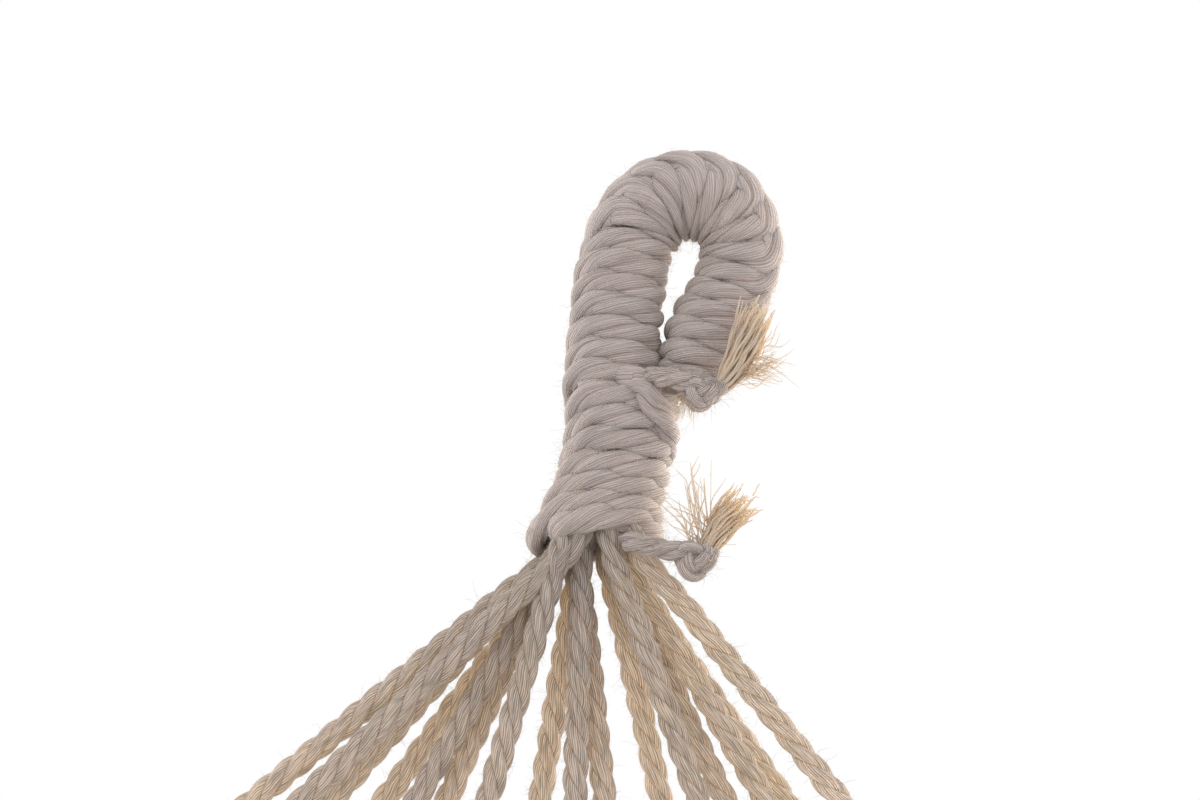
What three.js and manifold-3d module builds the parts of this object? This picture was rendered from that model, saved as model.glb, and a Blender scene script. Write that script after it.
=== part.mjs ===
// Hammock chair: a served rope eye and neck, a fan of cords to a wooden spreader bar,
// and a sewn canvas bucket seat hung from the bar on cord bights through eyelets.
// Millimetres, +Z up, X along the bar, the sitter faces -Y. The origin is the point
// inside the top of the eye where a hook bears.
import * as THREE from "three";
import { mergeVertices } from "three/addons/utils/BufferGeometryUtils.js";
import Module from "manifold-3d";

const wasm = await Module();
wasm.setup();

const V = (x, y, z) => new THREE.Vector3(x, y, z);
const touchGap = 0.3;
const cutOverrun = 5;
const mergeDistance = 0.0003;
const middleShare = 0.5;

// Cord and serving
const cordDiameter = 6.6;
const cordSides = 8;
const servingThickness = 5.4;
const servingWidth = 5.8;
const servingGap = 0.55;
const servingClearance = 0.45;
const servingShoulderShare = 0.55;
const gapSampleShares = [0, 0.25, 0.5, 0.75];

// Eye: the middle line of the served loop, left leg first
const legDiameter = 24.6;
const eyeHookRadius = 3.2;
const eyeArcRadius = legDiameter / 2 + eyeHookRadius;
const eyeArcDegrees = { from: 175, to: -15 };
const leftLegLength = 26;
const rightLegLength = 21;
const eyeTurns = 16;
const eyeTurnSteps = 20;
const eyeHalfWidth = eyeArcRadius + legDiameter / 2;

// Fan of cords between the neck and the bar, about the middle line of the chair
const middleX = -13;
const apexRise = 10.1;
const fanStartShare = 3.6364;
const fanStart = fanStartShare * cordDiameter;
const cordCount = 16;
const layerClearance = 0.35;
const layerSpacing = cordDiameter + layerClearance;
const layerOfCord = [1, 0, 2, 3, 1, 2, 0, 3, 1, 2, 3, 0, 2, 1, 3, 0];
const layerCount = 4;
const throatEdge = 19.5;
const throatShoulder = 0.8;
const buttSideAngle = 0.12;
const buttSegments = 16;
const buttArcSegments = 10;

// Neck: stations down the served neck, as shares of the middle line's offset and of the
// eye's half width, for its middle and for its outer half widths
const neckTopDrop = 6.75;
const neckLength = 49;
const neckStationShares = [
  { x: 0.3615, across: 0.928, deep: 0.4748 },
  { x: 0.4923, across: 0.8561, deep: 0.4928 },
  { x: 0.6769, across: 0.7266, deep: 0.5324 },
  { x: 0.8769, across: 0.5971, deep: 0.554 },
  { x: 0.9462, across: 0.5576, deep: 0.554 },
  { x: 0.9923, across: 0.5468, deep: 0.5468 },
  { x: 1.0615, across: 0.5791, deep: 0.5683 },
  { x: 1.1231, across: 0.6259, deep: 0.5971 },
];
const neckStations = neckStationShares.map(({ x, across, deep }) => ({
  x: x * middleX,
  across: across * eyeHalfWidth,
  deep: deep * eyeHalfWidth,
}));
const neckRoundShares = [0.72, 0.78, 0.9, 1, 1, 1, 1, 1];
const neckTurns = 8;
const neckTurnSteps = 20;
const coreSides = 12;
const coreJoinShare = 0.45;
const coreLeanShare = 0.2622;
const coreSlant = 3.8;
const coreNeckFrom = 2;
const neckCoreClearance = 0.2;
const neckCoreRadius = neckStations[coreNeckFrom].deep - servingThickness - neckCoreClearance;

// Spreader bar
const barDiameter = 32;
const barOverhang = 60;
const barDrop = 473;
const barEndRadius = 9;
const barEndSteps = 3;
const barSegments = 20;
const holeSpacing = 58;
const holeClearance = 0.55;
const holeSides = 12;
const bendRiseShare = 0.985;

// Stopper knots under the bar
const knotDiameter = 15;
const knotLength = 10;
const knotTaper = 2;

// Seat canvas: four rails from the middle of the cloth to its side edge, front edge first,
// as shares of the seat's half width, depth and height, from its middle and its foot
const canvasThickness = 2.4;
const canvasColumns = 24;
const canvasRows = 16;
const seatDrop = 479.6;
const seatHalfWidth = 360;
const seatDepth = 615;
const seatHeight = 530;
const seatSetback = 75;
const middleRailShares = [
  V(0, -0.426, 0.1472),
  V(0, -0.1951, 0.0189),
  V(0, 0.1138, 0),
  V(0, 0.4, 0.1472),
  V(0, 0.5496, 0.4491),
  V(0, 0.561, 0.7472),
  V(0, 0.4488, 1),
];
const innerRailShares = [
  V(0.4583, -0.4325, 0.1623),
  V(0.5278, -0.1984, 0.0226),
  V(0.5417, 0.1073, 0.0075),
  V(0.4944, 0.3902, 0.1623),
  V(0.4167, 0.5301, 0.4566),
  V(0.3111, 0.5528, 0.7472),
  V(0.2444, 0.439, 0.9962),
];
const outerRailShares = [
  V(0.8333, -0.439, 0.2566),
  V(0.9583, -0.2439, 0.2),
  V(1, 0.0163, 0.2377),
  V(0.9667, 0.2439, 0.3509),
  V(0.8333, 0.426, 0.5396),
  V(0.6444, 0.4813, 0.7509),
  V(0.4583, 0.4065, 0.9811),
];
const sideRailShares = [
  V(0.8944, -0.4195, 0.6906),
  V(0.9583, -0.2797, 0.7321),
  V(0.9778, -0.1008, 0.7811),
  V(0.9556, 0.0813, 0.8377),
  V(0.8833, 0.2309, 0.8943),
  V(0.7833, 0.3252, 0.9434),
  V(0.6667, 0.3512, 0.9811),
];
const sideFoldCount = 3.5;
const sideFoldDepth = 7;
const topFoldCount = 3;
const topFoldDepth = 5;
const foldReachShare = 0.45;
const sampleStep = 0.01;
const edgeSample = 0.1;
const rowSample = 0.05;
const seatBendSteps = 4;

// Eyelets, placed by shares of the cloth's half width and length, in from its edges
const eyeletInset = 24;
const eyeletBore = 13;
const eyeletDiameter = 26;
const eyeletBarrel = 1;
const eyeletFlange = 0.9;
const eyeletSegments = 12;
const eyeletFlatRadius = 52;
const eyeletFlatFade = 45;
const eyeletShares = [
  { side: 1, length: 0 },
  { side: 1, length: 0.4 },
  { side: 1, length: 1 },
  { side: 0.36, length: 1 },
];

// Tails of the servings: hand-placed routes
const tailDiameter = 6;
const tailKnotDiameter = 11;
const tailKnotShoulder = 0.2;
const upperTailRoute = [
  V(-4.4, -17.6, -40.6),
  V(1, -19.2, -41),
  V(13, -18.2, -41.6),
  V(15, -17.8, -41),
];
const upperTuftRoute = [V(19, -17, -36.4), V(20.6, -16.2, -27), V(22.4, -15.4, -16)];
const lowerTailRoute = [
  V(-2.4, -15.2, -83),
  V(5.4, -17.2, -85),
  V(12.4, -18, -86.4),
  V(14.6, -18, -86.2),
];
const lowerTuftRoute = [V(19.4, -17.4, -82.6), V(22.4, -16.6, -76), V(25.2, -15.6, -66.5)];
const tuftRootLength = 1.5;
const tuftDiameter = 10.4;
const tuftShares = [0.48, 0.48, 0.83, 1, 0.385];

const colours = {
  cord: 0xd9cdbf,
  serving: 0xcdbfae,
  core: 0xc9b79c,
  tuft: 0xe2d8c8,
  wood: 0xb98a58,
  canvas: 0xe3dac8,
  brass: 0xb39a5c,
};

const hung = new THREE.Group();
const chair = new THREE.Group();
chair.position.x = middleX;
hung.add(chair);

function material(kind) {
  const metal = kind === "brass";
  return new THREE.MeshStandardMaterial({
    color: colours[kind],
    roughness: metal ? 0.35 : 0.85,
    metalness: metal ? 1 : 0,
  });
}

function place(group, name, geometry, kind) {
  const mesh = new THREE.Mesh(geometry, material(kind));
  mesh.name = name;
  group.add(mesh);
  return mesh;
}

// Solids and joins
function solidOf(geometry) {
  const bare = geometry.clone();
  bare.deleteAttribute("normal");
  bare.deleteAttribute("uv");
  const merged = mergeVertices(bare, mergeDistance);
  return new wasm.Manifold(
    new wasm.Mesh({
      numProp: 3,
      vertProperties: new Float32Array(merged.attributes.position.array),
      triVerts: new Uint32Array(merged.index.array),
    }),
  );
}

function geometryOf(solid) {
  const mesh = solid.getMesh();
  const points = new Float32Array(mesh.numVert * 3);
  for (let i = 0; i < mesh.numVert; i += 1) {
    const from = i * mesh.numProp;
    points.set(mesh.vertProperties.subarray(from, from + 3), i * 3);
  }
  return new THREE.BufferGeometry()
    .setAttribute("position", new THREE.BufferAttribute(points, 3))
    .setIndex(new THREE.BufferAttribute(mesh.triVerts, 1));
}

function facingOut(geometry) {
  const points = geometry.attributes.position;
  const index = geometry.index.array;
  const corner = (i) => new THREE.Vector3().fromBufferAttribute(points, index[i]);
  let volume = 0;
  for (let i = 0; i < index.length; i += 3) {
    volume += corner(i).dot(corner(i + 1).cross(corner(i + 2)));
  }
  if (volume < 0) index.reverse();
  return geometry;
}

// A closed skin over rings of points, with flat ends
function loft(rings) {
  const sides = rings[0].length;
  const last = (rings.length - 1) * sides;
  const index = [];
  for (let r = 0; r < rings.length - 1; r += 1) {
    for (let k = 0; k < sides; k += 1) {
      const a = r * sides + k;
      const b = r * sides + ((k + 1) % sides);
      index.push(a, b, b + sides, a, b + sides, a + sides);
    }
  }
  for (let k = 1; k < sides - 1; k += 1) {
    index.push(0, k + 1, k, last, last + k, last + k + 1);
  }
  const points = rings.flat().flatMap((p) => p.toArray());
  const geometry = new THREE.BufferGeometry()
    .setAttribute("position", new THREE.Float32BufferAttribute(points, 3))
    .setIndex(new THREE.BufferAttribute(new Uint32Array(index), 1));
  return facingOut(geometry);
}

// A round tube with mitred corners: each ring is the last one, slid along its stretch
function tube(points, radii, sides) {
  const ways = points.slice(1).map((p, i) => p.clone().sub(points[i]).normalize());
  const aside = Math.abs(ways[0].z) > 0.9 ? V(1, 0, 0) : V(0, 0, 1);
  const u = aside.clone().cross(ways[0]).normalize();
  const w = ways[0].clone().cross(u);
  const first = [];
  for (let k = 0; k < sides; k += 1) {
    const angle = (2 * Math.PI * (k + middleShare)) / sides;
    const spoke = u.clone().multiplyScalar(Math.cos(angle)).addScaledVector(w, Math.sin(angle));
    first.push(points[0].clone().addScaledVector(spoke, radii[0]));
  }
  const rings = [first];
  for (let i = 1; i < points.length; i += 1) {
    const way = ways[i - 1];
    const normal = i < ways.length ? way.clone().add(ways[i]).normalize() : way;
    const grow = radii[i] / radii[i - 1];
    rings.push(
      rings[i - 1].map((p) => {
        const slide = points[i].clone().sub(p).dot(normal) / way.dot(normal);
        const spoke = p.clone().addScaledVector(way, slide).sub(points[i]);
        return points[i].clone().addScaledVector(spoke, grow);
      }),
    );
  }
  return loft(rings);
}

// A winding: at(turn, angle, depth) is the point that far along, round and under its outer face
function winding(name, turns, steps, at) {
  const levels = [
    { depth: 0, share: servingShoulderShare },
    { depth: servingThickness / 2, share: 1 },
    { depth: servingThickness, share: servingShoulderShare },
  ];
  const rings = [];
  const count = Math.round(turns * steps);
  for (let i = 0; i <= count; i += 1) {
    const turn = i / steps;
    const angle = -2 * Math.PI * turn;
    const sides = levels.map(({ depth, share }) => {
      const middle = at(turn, angle, depth);
      const before = at(turn - 1, angle, depth);
      const after = at(turn + 1, angle, depth);
      const room = Math.min(middle.distanceTo(before), middle.distanceTo(after)) - servingGap;
      const widest = Math.min(servingWidth, room) / 2;
      const reach = after.sub(before).normalize().multiplyScalar(widest * share);
      return [middle.clone().sub(reach), middle.clone().add(reach)];
    });
    rings.push([sides[0][0], sides[0][1], sides[1][1], sides[2][1], sides[2][0], sides[1][0]]);
  }
  const straight = (ring, inner) => {
    const centre = (points) =>
      points.reduce((sum, p) => sum.add(p), V(0, 0, 0)).divideScalar(points.length);
    const way = centre(ring).sub(centre(inner)).normalize();
    return ring.map((p) => p.clone().addScaledVector(way, servingThickness));
  };
  rings.unshift(straight(rings[0], rings[1]));
  rings.push(straight(rings.at(-1), rings.at(-2)));
  console.log(name + " least gap to itself: " + leastGap(rings, steps).toFixed(2) + " mm");
  return loft(rings);
}

// Least distance between the outlines of one turn and the next, on points along each side
function leastGap(rings, steps) {
  const dense = rings.map((ring) =>
    ring.flatMap((p, k) => {
      const next = ring[(k + 1) % ring.length];
      return gapSampleShares.map((share) => p.clone().lerp(next, share));
    }),
  );
  let least = Infinity;
  for (let i = 0; i < dense.length; i += 1) {
    const from = i + Math.floor(steps / 2);
    const to = Math.min(dense.length - 1, i + 2 * steps);
    for (let j = from; j <= to; j += 1) {
      for (const p of dense[i]) {
        for (const q of dense[j]) least = Math.min(least, p.distanceTo(q));
      }
    }
  }
  return least;
}

// Eye: a straight leg, an arc over the top and the other leg, each running on from the last
class EyeLine extends THREE.Curve {
  getPoint(share) {
    const from = THREE.MathUtils.degToRad(eyeArcDegrees.from);
    const to = THREE.MathUtils.degToRad(eyeArcDegrees.to);
    const arcLength = eyeArcRadius * (from - to);
    const run = share * (leftLegLength + arcLength + rightLegLength) - leftLegLength;
    const onArc = THREE.MathUtils.clamp(run, 0, arcLength);
    const angle = from - onArc / eyeArcRadius;
    const spoke = V(Math.cos(angle), 0, Math.sin(angle));
    const way = V(Math.sin(angle), 0, -Math.cos(angle));
    return V(0, 0, legDiameter / 2 - eyeArcRadius)
      .addScaledVector(spoke, eyeArcRadius)
      .addScaledVector(way, run - onArc);
  }
}
const eyeLine = new EyeLine();
const leftFoot = eyeLine.getPoint(0);
const rightFoot = eyeLine.getPoint(1);

function eyeFrame(share) {
  const way = eyeLine.getTangent(THREE.MathUtils.clamp(share, 0, 1));
  return { centre: eyeLine.getPoint(share), out: V(-way.z, 0, way.x) };
}

function aroundEye(turn, angle, depth) {
  const { centre, out } = eyeFrame(turn / eyeTurns);
  const radius = legDiameter / 2 - depth;
  const front = V(0, -1, 0);
  return centre
    .addScaledVector(front, radius * Math.cos(angle))
    .addScaledVector(out, radius * Math.sin(angle));
}

place(hung, "eye_serving", winding("eye_serving", eyeTurns, eyeTurnSteps, aroundEye), "serving");

// Neck
const neckTopZ = Math.min(leftFoot.z, rightFoot.z) - neckTopDrop;
const apexZ = neckTopZ - neckLength + apexRise;
const neckStep = neckLength / (neckStations.length - 1);
const neckZ = (i) => neckTopZ - i * neckStep;
const neckLine = new THREE.CatmullRomCurve3(neckStations.map(({ x }, i) => V(x, 0, neckZ(i))));
const neckSize = new THREE.CatmullRomCurve3(
  neckStations.map(({ across, deep }, i) => V(across, deep, neckZ(i))),
);

// Where the neck takes in both legs its section is squarer than an ellipse
const squared = (wave, round) => Math.sign(wave) * Math.abs(wave) ** round;

function aroundNeck(turn, angle, depth) {
  const share = Math.min(1, Math.max(0, turn / neckTurns));
  const centre = neckLine.getPoint(share);
  centre.z += (share - turn / neckTurns) * neckLength;
  const size = neckSize.getPoint(share);
  const station = share * (neckRoundShares.length - 1);
  const below = Math.min(Math.floor(station), neckRoundShares.length - 2);
  const [above, under] = neckRoundShares.slice(below);
  const round = THREE.MathUtils.lerp(above, under, station - below);
  const x = (size.x - depth) * squared(Math.sin(angle), round);
  const y = -(size.y - depth) * squared(Math.cos(angle), round);
  return centre.add(V(x, y, 0));
}

place(
  hung,
  "neck_serving",
  winding("neck_serving", neckTurns, neckTurnSteps, aroundNeck),
  "serving",
);

// Core: both legs of the gathered cords, the neck, and the butt that the fan leaves
function cordBights() {
  const legRadius = legDiameter / 2 - servingThickness - servingClearance;
  const inNeck = neckLine.getPoint(coreJoinShare);
  const aside = neckCoreRadius - legRadius;
  const shareStep = 1 / eyeTurns;
  const line = new THREE.CatmullRomCurve3([
    inNeck.clone().add(V(-aside, 0, 0)),
    V(leftFoot.x + aside, 0, neckZ(1)),
    ...Array.from({ length: eyeTurns + 1 }, (_, k) => eyeLine.getPoint(k * shareStep)),
    V(rightFoot.x - coreLeanShare * legDiameter, 0, neckZ(1)),
    V(inNeck.x + aside + coreSlant, 0, neckZ(coreNeckFrom)),
    inNeck.clone().add(V(aside, 0, 0)),
  ]);
  const points = line.getSpacedPoints(2 * eyeTurns);
  const legs = tube(points, points.map(() => legRadius), coreSides);
  const neckPoints = neckStations.map(({ x }, i) => V(x, 0, neckZ(i))).slice(coreNeckFrom);
  const neck = tube(neckPoints, neckPoints.map(() => neckCoreRadius), coreSides);
  return geometryOf(solidOf(legs).add(solidOf(neck)).add(solidOf(fanButt())));
}

// The butt: a round-nosed sector about the fan's apex, stepped in above to pass the serving
function fanButt() {
  const nose = fanStart - touchGap;
  const halfAngle = Math.atan((holeSpacing * (cordCount - 1)) / 2 / barDrop) + buttSideAngle;
  const outline = new THREE.Shape();
  outline.moveTo(0, 0);
  outline.lineTo(-nose * Math.sin(halfAngle), -nose * Math.cos(halfAngle));
  outline.absarc(0, 0, nose, -Math.PI / 2 - halfAngle, -Math.PI / 2 + halfAngle, false);
  outline.closePath();
  const depth = (layerCount - 1) * layerSpacing + cordDiameter;
  const sector = new THREE.ExtrudeGeometry(outline, {
    depth,
    bevelEnabled: false,
    curveSegments: buttArcSegments,
  });
  sector.rotateX(Math.PI / 2);
  sector.translate(middleX, depth / 2, apexZ);
  const shoulderZ = neckTopZ - neckLength - servingWidth / 2 - throatShoulder;
  const foot = neckStations.at(-1);
  const throatLean = Math.abs(foot.x - middleX);
  const throatRadius = foot.deep - servingThickness - servingClearance - throatLean;
  const envelope = new THREE.LatheGeometry(
    [
      new THREE.Vector2(0, apexZ - nose - cutOverrun),
      new THREE.Vector2(throatEdge + cutOverrun, apexZ - nose - cutOverrun),
      new THREE.Vector2(throatEdge + cutOverrun, shoulderZ - touchGap),
      new THREE.Vector2(throatEdge, shoulderZ),
      new THREE.Vector2(throatRadius, shoulderZ),
      new THREE.Vector2(neckCoreRadius, apexZ),
      new THREE.Vector2(0, apexZ),
    ],
    buttSegments,
  );
  envelope.rotateX(Math.PI / 2);
  envelope.translate(middleX, 0, 0);
  return geometryOf(solidOf(sector).intersect(solidOf(envelope)));
}

place(hung, "cord_bights", cordBights(), "core");

// Tails
function tail(name, route, tuftRoute) {
  const [start, before, after, end] = route;
  const upper = before.clone().lerp(after, tailKnotShoulder);
  const lower = after.clone().lerp(before, tailKnotShoulder);
  const knotted = [start, before, upper, lower, after, end];
  const rope = tailDiameter / 2;
  const knot = tailKnotDiameter / 2;
  const knotRadii = [rope, rope, knot, knot, rope, rope];
  place(hung, name + "_knot", tube(knotted, knotRadii, cordSides), "serving");
  const way = end.clone().sub(after).normalize();
  const root = end.clone().addScaledVector(way, touchGap);
  const points = [root, root.clone().addScaledVector(way, tuftRootLength), ...tuftRoute];
  const tuft = tube(points, tuftShares.map((share) => (share * tuftDiameter) / 2), cordSides);
  place(hung, name + "_tuft", tuft, "tuft");
}

tail("upper_tail", upperTailRoute, upperTuftRoute);
tail("lower_tail", lowerTailRoute, lowerTuftRoute);

// Bar
const barZ = apexZ - barDrop;
const holeSpan = (cordCount - 1) * holeSpacing;
const holeX = (i) => i * holeSpacing - holeSpan / 2;

function spreaderBar() {
  const radius = barDiameter / 2;
  const half = holeSpan / 2 + barOverhang;
  const profile = [new THREE.Vector2(0, -half)];
  for (const end of [-1, 1]) {
    const turns = Array.from({ length: barEndSteps + 1 }, (_, k) => (k * Math.PI) / 2 / barEndSteps);
    if (end > 0) turns.reverse();
    for (const turn of turns) {
      profile.push(
        new THREE.Vector2(
          radius - barEndRadius + barEndRadius * Math.sin(turn),
          end * (half - barEndRadius + barEndRadius * Math.cos(turn)),
        ),
      );
    }
  }
  profile.push(new THREE.Vector2(0, half));
  const round = new THREE.LatheGeometry(profile, barSegments);
  round.rotateZ(-Math.PI / 2);
  let bar = solidOf(round);
  const holeRadius = cordDiameter / 2 + holeClearance;
  for (let i = 0; i < cordCount; i += 1) {
    const hole = new THREE.CylinderGeometry(
      holeRadius,
      holeRadius,
      barDiameter + 2 * cutOverrun,
      holeSides,
    );
    hole.rotateX(Math.PI / 2);
    hole.translate(holeX(i), 0, 0);
    bar = bar.subtract(solidOf(hole));
  }
  return geometryOf(bar);
}

const barGroup = new THREE.Group();
barGroup.position.z = barZ;
chair.add(barGroup);
place(barGroup, "spreader_bar", spreaderBar(), "wood");

// Cords of the fan, each with the stopper knot that holds the bar up
const knotTopZ = barZ - barDiameter / 2 - touchGap;
const knotFootZ = knotTopZ - knotLength - 2 * knotTaper;

function spreaderCord(i) {
  const x = holeX(i);
  const angle = Math.atan2(x, barDrop);
  const y = (layerOfCord[i] - (layerCount - 1) / 2) * layerSpacing;
  const rope = cordDiameter / 2;
  const knot = knotDiameter / 2;
  const points = [
    V(fanStart * Math.sin(angle), y, apexZ - fanStart * Math.cos(angle)),
    V(x, 0, barZ + barDiameter / 2 + bendRiseShare * cordDiameter),
    V(x, 0, knotTopZ),
    V(x, 0, knotTopZ - knotTaper),
    V(x, 0, knotTopZ - knotTaper - knotLength),
    V(x, 0, knotFootZ),
  ];
  return tube(points, [rope, rope, rope, knot, knot, rope], cordSides);
}

for (let i = 0; i < cordCount; i += 1) {
  place(chair, "spreader_cord_" + String(i + 1).padStart(2, "0"), spreaderCord(i), "cord");
}

// Seat
const seatFoot = V(0, -seatSetback, barZ - seatDrop - seatHeight);
const seatSize = V(seatHalfWidth, seatDepth, seatHeight);
const rails = [middleRailShares, innerRailShares, outerRailShares, sideRailShares].map(
  (shares) => new THREE.CatmullRomCurve3(shares.map((p) => p.clone().multiply(seatSize).add(seatFoot))),
);

function smooth(share) {
  const held = Math.min(1, Math.max(0, share));
  return held * held * (3 - 2 * held);
}

// The cloth without its folds, side from -1 to 1, length from 0 at the front to 1 at the top
function drape(side, length) {
  const held = Math.min(1, Math.max(0, length));
  const [a, b, c, d] = rails.map((rail) => rail.getPoint(held));
  const t = Math.abs(side);
  const s = 1 - t;
  const p = a
    .multiplyScalar(s * s * s)
    .addScaledVector(b, 3 * s * s * t)
    .addScaledVector(c, 3 * s * t * t)
    .addScaledVector(d, t * t * t);
  if (side < 0) p.x = -p.x;
  return p;
}

function drapeNormal(side, length) {
  const low = Math.max(0, length - sampleStep);
  const high = Math.min(1, length + sampleStep);
  const left = Math.max(-1, side - sampleStep);
  const right = Math.min(1, side + sampleStep);
  const along = drape(side, high).sub(drape(side, low));
  const across = drape(right, length).sub(drape(left, length));
  return across.cross(along).normalize();
}

// An eyelet's seat: its point on the cloth, its pull towards the bar, and a normal square to it
function eyeletSeat(share, holes, mirror) {
  const edge = drape(1, share.length);
  const top = drape(share.side, 1);
  const sideLength = edge.distanceTo(drape(1 - edgeSample, share.length)) / edgeSample;
  const rowLength = top.distanceTo(drape(share.side, 1 - rowSample)) / rowSample;
  const side = share.side === 1 ? 1 - eyeletInset / sideLength : share.side;
  const inset = eyeletInset / rowLength;
  const length = THREE.MathUtils.clamp(share.length, inset, 1 - inset);
  const point = drape(mirror * side, length);
  const towards = V((holes[0] + holes[1]) / 2, 0, knotFootZ).sub(point).normalize();
  const normal = drapeNormal(mirror * side, length);
  normal.addScaledVector(towards, -normal.dot(towards)).normalize();
  return { point, towards, normal, holes };
}

const eyeletSeats = [-1, 1].flatMap((mirror) =>
  eyeletShares.map((share, pair) => {
    const holes = [2 * pair, 2 * pair + 1].map((i) => -mirror * holeX(i));
    return eyeletSeat(share, holes, mirror);
  }),
);

// The cloth with its folds, drawn flat round each eyelet
function cloth(side, length) {
  const normal = drapeNormal(side, length);
  const nearSide = smooth((Math.abs(side) - foldReachShare) / (1 - foldReachShare));
  const nearTop = smooth((length - foldReachShare) / (1 - foldReachShare));
  const sideWave = Math.sin(2 * Math.PI * sideFoldCount * length);
  const topWave = Math.cos(2 * Math.PI * topFoldCount * side);
  const sideFold = sideFoldDepth * nearSide * (1 - nearTop) * sideWave;
  const topFold = topFoldDepth * nearTop * (1 - nearSide) * topWave;
  const point = drape(side, length).addScaledVector(normal, sideFold + topFold);
  for (const seat of eyeletSeats) {
    const fade = (point.distanceTo(seat.point) - eyeletFlatRadius) / eyeletFlatFade;
    const hold = 1 - smooth(fade);
    const height = point.clone().sub(seat.point).dot(seat.normal);
    point.addScaledVector(seat.normal, -height * hold);
    normal.lerp(seat.normal, hold).normalize();
  }
  return { point, normal };
}

function canvasSheet() {
  const faces = [1, -1].map((face) => {
    const grid = [];
    for (let row = 0; row <= canvasRows; row += 1) {
      for (let column = 0; column <= canvasColumns; column += 1) {
        const { point, normal } = cloth((2 * column) / canvasColumns - 1, row / canvasRows);
        grid.push(point.addScaledVector(normal, (face * canvasThickness) / 2));
      }
    }
    return grid;
  });
  const width = canvasColumns + 1;
  const under = faces[0].length;
  const index = [];
  const quad = (a, b, c, d) => index.push(a, b, c, a, c, d);
  for (let row = 0; row < canvasRows; row += 1) {
    for (let column = 0; column < canvasColumns; column += 1) {
      const a = row * width + column;
      quad(a, a + 1, a + width + 1, a + width);
      quad(under + a, under + a + width, under + a + width + 1, under + a + 1);
    }
  }
  const topRow = canvasRows * width;
  for (let column = 0; column < canvasColumns; column += 1) {
    quad(column, under + column, under + column + 1, column + 1);
    const end = topRow + column;
    quad(end, end + 1, under + end + 1, under + end);
  }
  for (let row = 0; row < canvasRows; row += 1) {
    const left = row * width;
    const right = left + canvasColumns;
    quad(left, left + width, under + left + width, under + left);
    quad(right, under + right, under + right + width, right + width);
  }
  const points = faces.flat().flatMap((p) => p.toArray());
  const geometry = new THREE.BufferGeometry()
    .setAttribute("position", new THREE.Float32BufferAttribute(points, 3))
    .setIndex(new THREE.BufferAttribute(new Uint32Array(index), 1));
  return facingOut(geometry);
}

function eyeletRing() {
  const bore = eyeletBore / 2;
  const barrel = bore + eyeletBarrel;
  const edge = eyeletDiameter / 2;
  const inner = canvasThickness / 2 + touchGap;
  const outer = inner + eyeletFlange;
  const profile = [
    [bore, -inner],
    [barrel, -outer],
    [edge, -inner],
    [barrel, -inner],
    [barrel, inner],
    [edge, inner],
    [barrel, outer],
    [bore, inner],
    [bore, -inner],
  ].map(([radius, height]) => new THREE.Vector2(radius, height));
  return new THREE.LatheGeometry(profile, eyeletSegments);
}

function eyeletHole() {
  const radius = eyeletBore / 2 + eyeletBarrel + touchGap;
  return new THREE.CylinderGeometry(radius, radius, canvasThickness + 2 * cutOverrun, eyeletSegments);
}

// The two legs of a seat cord straddle the cloth, each on the side of its own hole, and meet
// in a bend through the bore
function seatCord({ point, towards, normal, holes }) {
  const rope = cordDiameter / 2;
  const bend = canvasThickness / 2 + touchGap + eyeletFlange + touchGap + rope;
  const middle = point.clone().addScaledVector(towards, eyeletBore / 2 - touchGap);
  const arc = [];
  for (let k = 0; k <= seatBendSteps; k += 1) {
    const angle = (Math.PI * k) / seatBendSteps;
    const spoke = normal
      .clone()
      .multiplyScalar(Math.cos(angle))
      .addScaledVector(towards, -Math.sin(angle));
    arc.push(middle.clone().addScaledVector(spoke, bend));
  }
  const top = (x, foot) => {
    const way = foot.clone().sub(V(x, 0, knotFootZ)).normalize();
    return V(x, 0, knotFootZ - touchGap - rope * Math.hypot(way.x, way.y));
  };
  const [near, far] = holes.toSorted((a, b) => (b - a) * normal.x);
  const from = top(near, arc[0]);
  const to = top(far, arc.at(-1));
  const points = [from, ...arc, to];
  return tube(points, points.map(() => rope), cordSides);
}

let canvas = solidOf(canvasSheet());
eyeletSeats.forEach((seat, i) => {
  const { point, towards, normal } = seat;
  const sideways = towards.clone().cross(normal);
  const turn = new THREE.Matrix4().makeBasis(sideways, normal, towards.clone().negate());
  const eyelet = place(chair, "eyelet_" + (i + 1), eyeletRing(), "brass");
  eyelet.position.copy(point);
  eyelet.quaternion.setFromRotationMatrix(turn);
  canvas = canvas.subtract(solidOf(eyeletHole().applyMatrix4(turn.setPosition(point))));
  place(chair, "seat_cord_" + (i + 1), seatCord(seat), "cord");
});
place(chair, "seat_canvas", geometryOf(canvas), "canvas");

export default hung;
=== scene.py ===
"""Looks of the hammock chair: cotton rope, served eye and neck, wooden bar and canvas seat.

Lengths are in millimetres until a mesh is built. +Z is up and the front is at -Y."""

import math

import bpy
import numpy as np
from mathutils import Matrix, Vector


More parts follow.
